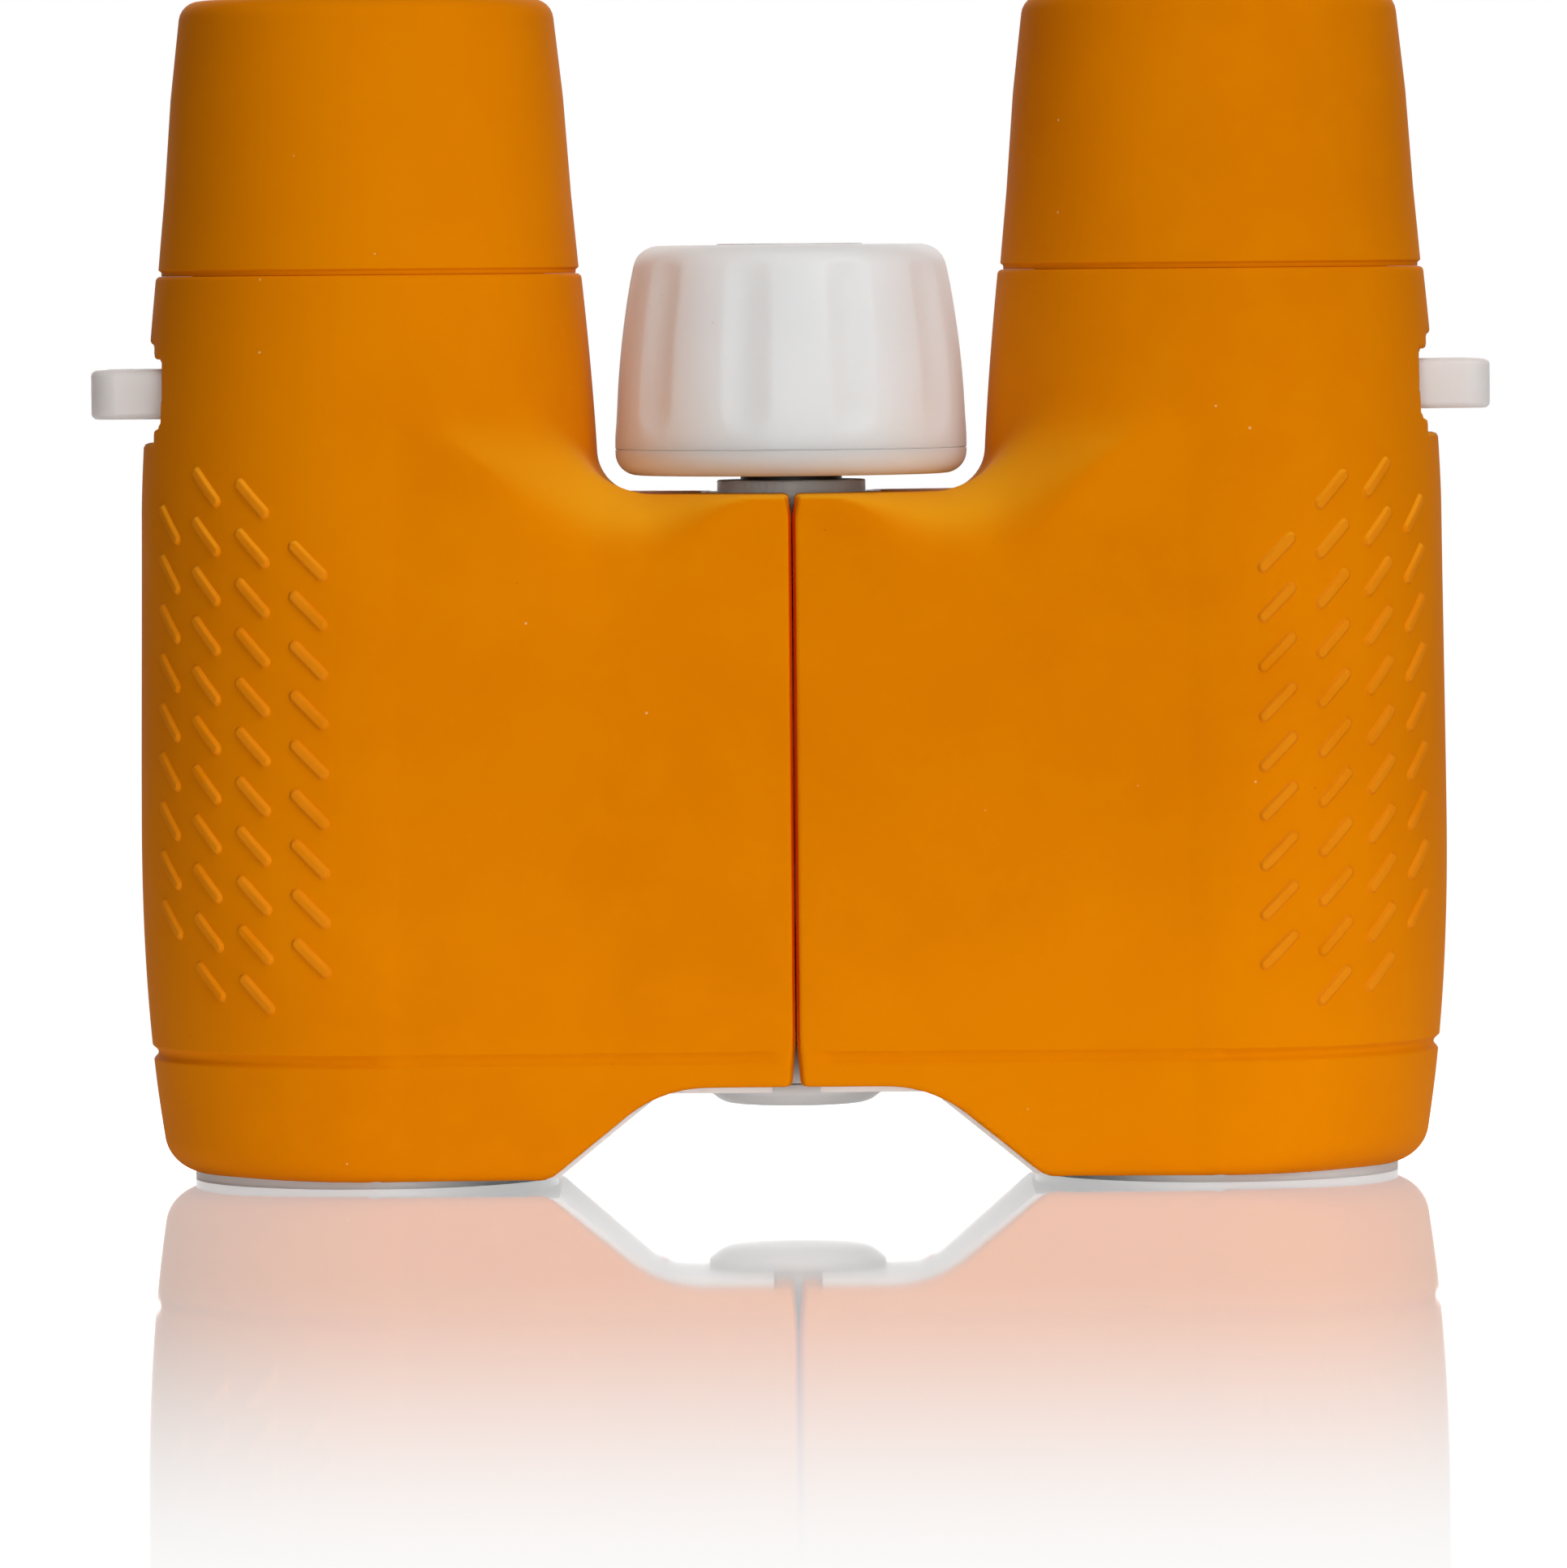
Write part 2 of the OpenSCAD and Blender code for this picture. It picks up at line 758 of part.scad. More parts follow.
module right_prism_cage() {
    prism_cage();
}

// Extrudes a prism's side outline, drawn in X and Z, across the prism's width
module prism_body() {
    at_barrel()
        translate([0, prism_w / 2, cage_z + cage_floor])
            rotate([90, 0, 0]) linear_extrude(prism_w) children();
}

module lower_prism() {
    half = prism_w / 2;
    mid = prism_h * prism_split_share;
    lean = prism_h * prism_lean_share;
    color(glass)
        prism_body()
            polygon([
                [-half, 0], [half, 0], [half, mid - lean - prism_gap], [-half, mid + lean - prism_gap]]);
}

module left_lower_prism() {
    mirrored() lower_prism();
}

module right_lower_prism() {
    lower_prism();
}

// Upper prism, its outer side cut to a right-angled roof
module roof_prism() {
    half = prism_w / 2;
    mid = prism_h * prism_split_share;
    lean = prism_h * prism_lean_share;
    color(glass)
        difference() {
            prism_body()
                polygon([[-half, mid + lean], [half, mid - lean], [half, prism_h], [-half, prism_h]]);
            for (s = [0, 1])
                at_barrel()
                    mirror([0, s, 0])
                        translate([half, 0, cage_z])
                            rotate([0, 0, 45]) cube([prism_w, prism_w, prism_h + cage_floor + over]);
        }
}

module left_roof_prism() {
    mirrored() roof_prism();
}

module right_roof_prism() {
    roof_prism();
}

module prism_clip() {
    side = prism_w;
    color(steel)
        at_barrel()
            translate([0, 0, cage_top - clip_plate_t])
                difference() {
                    translate([-side / 2, -side / 2, 0]) cube([side, side, clip_plate_t]);
                    translate([0, 0, -over]) cylinder(r = prism_port_r, h = clip_plate_t + 2 * over);
                }
}

module left_prism_clip() {
    mirrored() prism_clip();
}

module right_prism_clip() {
    prism_clip();
}

module ocular_tube() {
    field_stop_z = field_lens_z + field_lens_t - field_seat;
    color(black)
        at_barrel()
            difference() {
                translate([0, 0, ocular_z]) cylinder(r = ocular_r, h = ocular_top - ocular_z);
                translate([0, 0, ocular_z - over])
                    cylinder(r = field_lens_r + fit, h = field_stop_z - ocular_z + over);
                translate([0, 0, ocular_z])
                    cylinder(r = field_lens_r - lens_land, h = field_stop_z + field_stop_h - ocular_z);
                translate([0, 0, field_stop_z + field_stop_h / 2])
                    cylinder(r = eye_lens_r - lens_land, h = ocular_top);
                translate([0, 0, eye_lens_z + eye_seat])
                    cylinder(r = eye_lens_r + fit, h = ocular_top);
            }
}

module left_ocular_tube() {
    mirrored() ocular_tube();
}

module right_ocular_tube() {
    ocular_tube();
}

module field_lens() {
    color(glass)
        at_barrel() translate([0, 0, field_lens_z]) lens(field_lens_r, field_lens_t, lens_sag);
}

module left_field_lens() {
    mirrored() field_lens();
}

module right_field_lens() {
    field_lens();
}

module eye_lens() {
    color(glass)
        at_barrel() translate([0, 0, eye_lens_z]) lens(eye_lens_r, eye_lens_t, lens_sag);
}

module left_eye_lens() {
    mirrored() eye_lens();
}

module right_eye_lens() {
    eye_lens();
}

// Flanged ring that closes the ocular tube round the eye lens
module eye_lens_ring() {
    color(black)
        at_barrel()
            difference() {
                union() {
                    translate([0, 0, ocular_top]) cylinder(r = ocular_r, h = ring_flange_h);
                    translate([0, 0, ocular_top - eye_ring_h])
                        cylinder(r = eye_lens_r, h = eye_ring_h + fit);
                }
                translate([0, 0, ocular_top - eye_ring_h - over])
                    cylinder(r = eye_lens_r - lens_land, h = eye_ring_h + ring_flange_h + 2 * over);
            }
}

module left_eye_lens_ring() {
    mirrored() eye_lens_ring();
}

module right_eye_lens_ring() {
    eye_lens_ring();
}

module eyecup_sleeve() {
    color(black)
        at_barrel() translate([0, 0, eyecup_z]) ring(sleeve_r, ocular_bore_r, sleeve_top - fit - eyecup_z);
}

module left_eyecup_sleeve() {
    mirrored() eyecup_sleeve();
}

module right_eyecup_sleeve() {
    eyecup_sleeve();
}

module eyecup() {
    bore = eyecup_rim_r - eyecup_wall;
    round_z = eyecup_top - rim_round;
    color(orange)
        at_barrel()
            rotate_extrude()
                polygon(concat(
                    [
                        [sleeve_r + fit, eyecup_z],
                        [eyecup_base_r - eyecup_groove, eyecup_z],
                        [eyecup_base_r - eyecup_groove, eyecup_z + eyecup_groove_h],
                        [eyecup_base_r, eyecup_z + eyecup_groove_h]],
                    arc(eyecup_rim_r - rim_round, round_z, rim_round, 0, 90),
                    [
                        [bore + rim_round / 2, eyecup_top],
                        [bore, eyecup_top - rim_round / 2],
                        [bore, sleeve_top],
                        [sleeve_r + fit, sleeve_top]]));
}

module left_eyecup() {
    mirrored() eyecup();
}

module right_eyecup() {
    eyecup();
}

// Slotted tube that the halves turn on
module hinge_axle() {
    half_h = pin_r + focus_travel + slot_clear;
    half_w = pin_r + fit;
    color(steel)
        difference() {
            translate([0, 0, axle_z]) ring(axle_r, axle_bore_d / 2, plate_top - axle_z);
            translate([-axle_d, -half_w, arm_z - half_h]) cube([2 * axle_d, 2 * half_w, 2 * half_h]);
        }
}

module hinge_washers() {
    color(black)
        for (z = [low_right_z - joint_gap, high_left_z - joint_gap])
            translate([0, 0, z + washer_play / 2])
                ring(knuckle_r - washer_inset, axle_r + fit, washer_t);
}

module hinge_end_cap() {
    dome_r = knuckle_r - fit;
    spigot_r = clip_room_r - fit;
    dome = [for (i = [0 : curve_steps])
        let (share = i / curve_steps) [dome_r * share, low_left_z - cap_h * (1 - pow(share, cap_power))]];
    color(white)
        difference() {
            union() {
                rotate_extrude() polygon(concat(dome, [[0, low_left_z]]));
                translate([0, 0, low_left_z - cap_h / 2])
                    cylinder(r = spigot_r, h = cap_h / 2 + cap_spigot_h);
            }
            translate([0, 0, low_left_z]) cylinder(r = spigot_r - cap_wall, h = cap_spigot_h + over);
        }
}

// Screw with bearings at both ends of the axle and a stub for the knob
module focus_spindle() {
    color(steel)
        difference() {
            union() {
                translate([0, 0, axle_z - clip_t - 2 * fit])
                    cylinder(r = spindle_r, h = spindle_top - axle_z + clip_t + 2 * fit);
                translate([0, 0, plate_top - bearing_h]) cylinder(r = nut_r, h = bearing_h);
                translate([0, 0, axle_z + fit]) cylinder(r = nut_r, h = bearing_h);
            }
            translate([0, 0, spindle_top - knob_screw_len])
                cylinder(r = knob_screw_r + fit, h = knob_screw_len + over);
        }
}

module spindle_clip() {
    color(steel)
        translate([0, 0, axle_z - clip_t - fit])
            ring(clip_r, spindle_r + fit / 2, clip_t);
}

module focus_nut() {
    color(brass)
        translate([0, 0, arm_z - nut_h / 2])
            difference() {
                ring(nut_r, spindle_r + run_fit, nut_h);
                translate([-axle_d, 0, nut_h / 2])
                    rotate([0, 90, 0]) cylinder(r = pin_r + fit / 2, h = 2 * axle_d);
            }
}

module focus_pins() {
    color(steel)
        for (s = [0, 1])
            mirror([s, 0, 0])
                translate([pin_in, 0, arm_z])
                    rotate([0, 90, 0]) cylinder(r = pin_r, h = spool_core_r - pin_in - fit);
}

// Flanged sleeve round the axle; both arms ride in its groove
module focus_spool() {
    groove = arm_t + 2 * arm_fit;
    flange_h = (spool_h - groove) / 2;
    color(black)
        difference() {
            union() {
                translate([0, 0, arm_z - spool_h / 2]) cylinder(r = spool_core_r, h = spool_h);
                for (z = [arm_z - spool_h / 2, arm_z + groove / 2])
                    translate([0, 0, z]) cylinder(r = spool_r, h = flange_h);
            }
            translate([0, 0, arm_z - spool_h]) cylinder(r = axle_r + run_fit, h = 2 * spool_h);
            translate([-knuckle_r, 0, arm_z])
                rotate([0, 90, 0]) cylinder(r = pin_r + fit / 2, h = knuckle_d);
        }
}

// Fluted shell of the wheel above its parting line
module focus_knob() {
    side_top = knob_top - knob_round;
    outline = concat(
        [[0, knob_split]],
        [for (i = [0 : curve_steps])
            let (t = i / curve_steps)
                [knob_r - knob_taper * t * t, knob_split + (side_top - knob_split) * t]],
        arc(knob_r - knob_taper - knob_round, side_top, knob_round, 0, 90),
        [[0, knob_top]]);
    color(white)
        difference() {
            rotate_extrude() polygon(outline);
            for (i = [0 : flute_count - 1])
                rotate([0, 0, flute_phase - 90 + i * 360 / flute_count])
                    translate([knob_r + flute_r - flute_depth, 0, flute_low + flute_w / 2])
                        rotate([0, -flute_lean, 0]) {
                            cylinder(r = flute_r, h = knob_h);
                            sphere(r = flute_r);
                        }
            translate([0, 0, knob_split - over])
                ring(knob_r - knob_taper - knob_wall, knob_boss_r, knob_h - knob_wall + over);
            translate([0, 0, knob_split - over])
                cylinder(r = spindle_r + fit / 2, h = spindle_top - knob_split + over);
            cylinder(r = knob_screw_r + fit, h = knob_top + over);
            translate([0, 0, spindle_top + knob_web]) cylinder(r = knob_screw_head_r + fit, h = knob_top);
            translate([0, 0, knob_top - knob_cap_t]) cylinder(r = knob_cap_r, h = knob_cap_t + over);
        }
}

module knob_base() {
    outline = concat(
        [[spindle_r + fit / 2, knob_z]],
        arc(knob_r - knob_base_round, knob_z + knob_base_round, knob_base_round, -90, 0),
        [[knob_r, knob_split], [spindle_r + fit / 2, knob_split]]);
    color(white) rotate_extrude() polygon(outline);
}

module knob_collar() {
    color(black)
        translate([0, 0, knob_z - knob_collar_h])
            ring(knob_collar_r, spindle_r + fit / 2, knob_collar_h);
}

module knob_screw() {
    color(steel)
        union() {
            translate([0, 0, spindle_top + knob_web])
                cylinder(r = knob_screw_head_r, h = knob_screw_head_h);
            translate([0, 0, spindle_top + knob_web - knob_screw_len])
                cylinder(r = knob_screw_r, h = knob_screw_len + fit);
        }
}

module knob_cap() {
    color(white)
        translate([0, 0, knob_top - knob_cap_t + fit])
            cylinder(r = knob_cap_r - fit, h = knob_cap_t);
}

left_chassis();
left_armour();
left_strap_lug();
left_objective_tube();
left_objective_lens();
left_objective_ring();
left_focus_cell();
left_focus_lens();
left_prism_cage();
left_lower_prism();
left_roof_prism();
left_prism_clip();
left_ocular_tube();
left_field_lens();
left_eye_lens();
left_eye_lens_ring();
left_eyecup_sleeve();
left_eyecup();
right_chassis();
right_armour();
right_strap_lug();
right_objective_tube();
right_objective_lens();
right_objective_ring();
right_focus_cell();
right_focus_lens();
right_prism_cage();
right_lower_prism();
right_roof_prism();
right_prism_clip();
right_ocular_tube();
right_field_lens();
right_eye_lens();
right_eye_lens_ring();
right_eyecup_sleeve();
right_eyecup();
hinge_axle();
hinge_washers();
hinge_end_cap();
focus_spindle();
spindle_clip();
focus_nut();
focus_pins();
focus_spool();
focus_knob();
knob_base();
knob_collar();
knob_screw();
knob_cap();
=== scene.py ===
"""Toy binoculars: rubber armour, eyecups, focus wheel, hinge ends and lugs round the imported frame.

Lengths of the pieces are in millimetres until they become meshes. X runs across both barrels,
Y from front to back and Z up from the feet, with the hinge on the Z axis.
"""

import math

import bpy
import numpy as np
from mathutils import Matrix, Vector


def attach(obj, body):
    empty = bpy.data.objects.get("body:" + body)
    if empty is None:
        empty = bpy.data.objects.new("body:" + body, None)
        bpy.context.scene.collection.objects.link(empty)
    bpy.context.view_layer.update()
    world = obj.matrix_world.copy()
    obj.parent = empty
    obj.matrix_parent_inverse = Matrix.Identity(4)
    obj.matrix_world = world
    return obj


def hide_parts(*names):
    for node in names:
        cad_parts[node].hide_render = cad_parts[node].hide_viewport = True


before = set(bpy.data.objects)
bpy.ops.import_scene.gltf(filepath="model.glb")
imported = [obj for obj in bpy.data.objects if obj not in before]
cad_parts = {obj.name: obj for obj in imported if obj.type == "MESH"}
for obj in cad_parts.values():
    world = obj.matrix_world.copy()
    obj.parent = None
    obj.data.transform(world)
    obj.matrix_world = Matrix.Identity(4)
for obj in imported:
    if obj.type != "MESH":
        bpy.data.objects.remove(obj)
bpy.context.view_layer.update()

MM = 0.001
SIDES = {"left": -1, "right": 1}

# Barrels: radii, the heights where they swell and narrow, and the oval of the lower outer sides
BARREL_X = 34.0
FOOT_R, BELLY_R, COLLAR_R = 16.3, 18.49, 17.2
SWELL_H, NARROW_H, BODY_H, COLLAR_TOP = 30.0, 54.0, 72.6, 72.95
SWELL_POWER, NARROW_POWER = 2.5, 1.5
OVAL, OVAL_FROM, OVAL_SPAN = 0.018, 62.0, 40.0
LIP_H, COLLAR_ROUND = 0.6, 0.35
# The foot's lower edge grows rounder towards the outer side
FOOT_ROUND, FOOT_ROUND_OUT, FOOT_ROUND_SPAN = 1.15, 2.7, 12.0

# Bridge: height of its shelf, the scooped necks that rise from it and the slant of its front
BRIDGE_H, NECK_FILLET, NECK_OVER = 55.2, 3.3, 0.8
NECK_SCOOP, NECK_SCOOP_FROM, NECK_SCOOP_SPAN = 5.0, 3.0, 10.0
FRONT_SLANT = math.radians(1.7)
EDGE = 0.4
# Easing of the shelf's front edge: its widths, and where along X it grows and fades
SHELF_EASE, SHELF_EASE_SEAM = 12.0, 1.4
SHELF_GROW, SHELF_GROW_SPAN, SHELF_FADE, SHELF_FADE_SPAN = 3.0, 9.0, 15.0, 11.0

# Seam: half its gap at the front and deep inside, and what its lower and upper ends add
SEAM_FRONT, SEAM_DEEP, SEAM_FOOT, SEAM_HEAD = 0.23, 0.04, 0.32, 0.2
SEAM_NARROW, SEAM_NARROW_SPAN = 0.6, 0.6
SEAM_FOOT_TOP, SEAM_FOOT_SPAN = 12.2, 5.0
SEAM_HEAD_FROM, SEAM_HEAD_SPAN = 53.2, 1.6

# Arch between the feet
ARCH_H, ARCH_LIP, ARCH_HALF_W, ARCH_FOOT_X = 7.5, 0.5, 10.8, 20.0
ARCH_SOFT = 2.4

# Back of the bridge: plan points, and the fillet that runs into the barrels
BACK_CORNER, BACK_ROOT = (7.5, 7.2), (24.0, 13.4)
BACK_FILLET, BACK_FILLET_GROW, BACK_FILLET_FADE, LEAST_FILLET = 2.0, 6.0, 3.0, 1e-6
HINGE_CLEAR_R = 7.7

# Groove round the feet, fading in beside the seam
GROOVE_Z, GROOVE_HALF, GROOVE_DEPTH = 10.35, 0.6, 0.42
GROOVE_FROM, GROOVE_SPAN = 0.9, 2.0

# Hollow for the chassis: walls over it, its front, and the radii of its tube and rim
ARMOUR_WALL, SHELF_WALL, CHASSIS_FRONT = 1.6, 1.1, 15.3
TUBE_R, RIM_R, RIM_H = 15.9, 13.9, 4.9

# Drawing of the armour: grid lines as (start, step) pairs with a closing end, then how its points settle
GRID_X = ((-0.35, 0.22), (1.6, 0.6), (49.6, 0.3), 53.2)
GRID_Y = ((-19.1, 0.4), (-15.1, 0.6), 19.1)
GRID_Z = (
    (0.28, 0.16), (1.24, 0.3), (3.1, 0.6), (6.6, 0.3), (9.5, 0.16), (11.2, 0.7),
    (50.8, 0.35), (58.8, 0.25), (68.4, 0.5), (71.4, 0.25), (72.6, 0.1), 73.3,
)
SETTLE_ROUNDS, SETTLE_STEP, LEAST_SLOPE, SLOPE_REACH, WELD = 3, 0.25, 0.25, 0.02, 0.01

# Strap lugs, and the depth, width and height of each step of their pockets
LUG_Z, LUG_W, LUG_H, LUG_BAND = 63.5, 10.6, 4.0, 1.2
LUG_ROOT_X, LUG_TIP_X = 48.6, 56.35
LUG_CORNER, LUG_ROOT_ROUND, LUG_EDGE = 2.2, 0.3, 0.5
POCKETS = ((0.75, 16.6, 7.9), (1.5, 14.0, 5.6))
POCKET_CORNER, POCKET_EDGE = 0.9, 0.4

# Grip ribs: angle from the front, count and middle height of each column
RIB_COLUMNS = ((14.0, 9, 34.5), (29.0, 11, 35.5), (43.5, 11, 36.4), (58.5, 9, 37.3))
RIB_PITCH, RIB_LENGTH, RIB_WIDTH, RIB_HEIGHT = 3.95, 3.95, 0.78, 0.28
RIB_LEAN = math.radians(45)
RIB_END_STEPS, RIB_SIDE_STEPS = 9, 8
# Section of a rib as shares of its half width and its height, from the crown to the sunk root
RIB_SHARES = ((0.3, 1.0), (0.65, 0.98), (0.85, 0.85), (0.98, 0.5), (1.12, 0.14), (1.4, -0.05), (1.35, -0.7))

# Eyecups: corners of the section as radius, height and rounding, from the inner foot round to the bore
EYECUP_GAP, EYECUP_SEAT_R, EYECUP_SEAT_TOP, EYECUP_TOP = 0.01, 14.2, 87.5, 95.1
EYECUP_CORNERS = (
    (EYECUP_SEAT_R, COLLAR_TOP + EYECUP_GAP, 0.1),
    (16.72, COLLAR_TOP + EYECUP_GAP, 0.05),
    (16.74, COLLAR_TOP + 0.34, 0.1),
    (16.97, COLLAR_TOP + 0.5, 0.16),
    (16.42, 79.3, 12.0),
    (15.84, 87.2, 12.0),
    (14.95, EYECUP_TOP, 1.7),
    (12.25, EYECUP_TOP, 0.75),
    (12.2, EYECUP_SEAT_TOP, 0.2),
    (EYECUP_SEAT_R, EYECUP_SEAT_TOP, 0.2),
)

# Focus wheel: heights, tapered side, and the well in its top
KNOB_FOOT, KNOB_SPLIT, KNOB_TOP = 56.6, 58.7, 75.1
KNOB_R, KNOB_TAPER, KNOB_TAPER_H, KNOB_TOP_ROUND = 14.2, 1.2, 13.3, 2.3
KNOB_SIDE_FOOT, KNOB_SIDE_TOP, KNOB_SIDE_STEPS = KNOB_SPLIT + 0.35, KNOB_TOP - 3.2, 34
WELL_R, WELL_MOUTH_R, WELL_MOUTH_H = 6.3, 6.7, 0.7
WELL_ROUND, WELL_FOOT_ROUND = 0.35, 0.1
FLUTES, FLUTE_FIRST = 10, -15.0
FLUTE_HALF, FLUTE_DEPTH, FLUTE_FOOT, FLUTE_END = 9.0, 0.42, 59.7, 2.4
FLUTE_RIM, FLUTE_RIM_SPAN, FLUTE_INNER_R = KNOB_TOP - 2.6, 1.9, 10
# Parting line of the wheel: its chamfer and the roundings of the two edges
PARTING, PARTING_ROUND, PARTING_SIDE_ROUND = 0.08, 0.04, 0.03
# Base under the parting line: corners of the section as radius, height and rounding
BASE_BORE_R, BASE_TOP = 4.2, KNOB_SPLIT - 0.02
BASE_CORNERS = (
    (BASE_BORE_R, KNOB_FOOT, 0.2), (KNOB_R, KNOB_FOOT, 1.8),
    (KNOB_R, BASE_TOP, 0.08), (BASE_BORE_R, BASE_TOP, 0.1),
)

# Hinge ends that show, with the corners of their sections in the same way
PLATE_BORE_R, PLATE_R, PLATE_FOOT, PLATE_TOP = 4.3, 6.0, 55.24, 56.15
PLATE_CORNERS = (
    (PLATE_BORE_R, PLATE_FOOT, 0.1), (PLATE_R, PLATE_FOOT, 0.1),
    (PLATE_R, PLATE_TOP, 0.15), (PLATE_BORE_R, PLATE_TOP, 0.1),
)
CAP_R, CAP_FOOT, CAP_H = 7.25, 5.65, 1.9
CAP_CORNERS = (
    (0.0, CAP_FOOT, 0), (CAP_R - 1.4, CAP_FOOT + 0.12, 2.0), (CAP_R, CAP_FOOT + 1.15, 0.6),
    (CAP_R - 0.1, CAP_FOOT + CAP_H, 0.1), (0.0, CAP_FOOT + CAP_H, 0),
)

# Steps round each turned piece, and along the arcs of its corners
EYECUP_STEPS, KNOB_STEPS, BASE_STEPS, HINGE_STEPS = 144, 360, 180, 96
CORNER_STEPS, KNOB_CORNER_STEPS, BASE_CORNER_STEPS, LUG_CORNER_STEPS, LUG_EDGE_STEPS = 6, 10, 8, 8, 5


def ease(t):
    """0 to 1 along a smooth step."""
    t = np.clip(t, 0.0, 1.0)
    return t * t * (3 - 2 * t)


def round_cut(r, *fields):
    """Space inside all the fields, its edges rounded by r."""
    grown = [f + r for f in fields]
    deepest = grown[0]
    squares = np.maximum(grown[0], 0) ** 2
    for g in grown[1:]:
        deepest = np.maximum(deepest, g)
        squares = squares + np.maximum(g, 0) ** 2
    return np.sqrt(squares) - r + np.minimum(deepest, 0)


def round_join(r, a, b):
    """Space inside either field, with a fillet of radius r where they meet squarely."""
    return np.maximum(r, np.minimum(a, b)) - np.hypot(np.maximum(r - a, 0), np.maximum(r - b, 0))


def scoop(square):
    """Depth share of a smooth hollow; square is 0 at its middle and 1 at its edge."""
    return np.clip(1 - square, 0, 1) ** 1.5


def soft_join(k, a, b):
    """Space inside either field, blended over a width k."""
    h = np.clip(0.5 + 0.5 * (b - a) / k, 0, 1)
    return b + (a - b) * h - k * h * (1 - h)


def soft_cut(k, a, b):
    """Space inside both fields, its edge eased over a width k without a crease."""
    h = np.maximum(k - np.abs(a - b), 0) / k
    return np.maximum(a, b) + h**3 * k / 6


def skin_radius(z):
    """Radius of the armour at height z."""
    swell = np.clip(1 - z / SWELL_H, 0, 1) ** SWELL_POWER
    narrow = np.clip((z - NARROW_H) / (BODY_H - NARROW_H), 0, None) ** NARROW_POWER
    return BELLY_R - (BELLY_R - FOOT_R) * swell - (BELLY_R - COLLAR_R) * narrow


def widened(x, z):
    """X measured on a round barrel, where the lower barrel is a little oval on its outer side."""
    oval = 1 + OVAL * ease((OVAL_FROM - z) / OVAL_SPAN)
    return BARREL_X + np.where(x > BARREL_X, (x - BARREL_X) / oval, x - BARREL_X)


def pocket(x, y, z, depth, width, height):
    """Recess in the outer side for a strap lug."""
    across = np.abs(y) - width / 2 + POCKET_CORNER
    along = np.abs(z - LUG_Z) - height / 2 + POCKET_CORNER
    window = np.hypot(np.maximum(across, 0), np.maximum(along, 0)) - POCKET_CORNER
    window = window + np.minimum(np.maximum(across, along), 0)
    floor = BARREL_X + skin_radius(LUG_Z) - depth
    return np.maximum(window, floor - x)


def seam_side(z, depth):
    """Half the gap between the halves at height z and a depth behind the front."""
    gap = SEAM_DEEP + (SEAM_FRONT - SEAM_DEEP) * (1 - ease((depth - SEAM_NARROW) / SEAM_NARROW_SPAN))
    foot = SEAM_FOOT * ease((SEAM_FOOT_TOP - z) / SEAM_FOOT_SPAN)
    return gap + foot + SEAM_HEAD * ease((z - SEAM_HEAD_FROM) / SEAM_HEAD_SPAN)


def arch_field(x, z):
    """Distance below the arch: negative in the rubber over it."""
    fall = ARCH_H / (ARCH_FOOT_X - ARCH_HALF_W)
    slope = (ARCH_H + ARCH_LIP - fall * (x - ARCH_HALF_W) - z) / math.hypot(1, fall)
    return soft_join(ARCH_SOFT, ARCH_H + ARCH_LIP - z, slope)


def back_fields(x, y):
    """Distances behind the bridge's slanted back, and behind its relief beside the hinge."""
    run, rise = BACK_ROOT[0] - BACK_CORNER[0], BACK_ROOT[1] - BACK_CORNER[1]
    back = ((y - BACK_CORNER[1]) * run - (x - BACK_CORNER[0]) * rise) / math.hypot(run, rise)
    relief = (y * BACK_CORNER[0] - x * BACK_CORNER[1]) / math.hypot(*BACK_CORNER)
    return back, relief


def chassis_room(x, y, z, face, behind):
    """Distance to the hollow that the chassis fills, from the bridge's face and its back."""
    hole = np.hypot(x - BARREL_X, y)
    tube = np.maximum(hole - TUBE_R, RIM_H - z)
    block = np.maximum(SEAM_FRONT + ARMOUR_WALL - x, -y - CHASSIS_FRONT)
    block = np.maximum(block, np.maximum(z - BRIDGE_H + ARMOUR_WALL, face + SHELF_WALL))
    block = np.maximum(block, behind + ARMOUR_WALL)
    block = np.maximum(block, x - BARREL_X)
    return np.minimum(np.minimum(hole - RIM_R, tube), block)


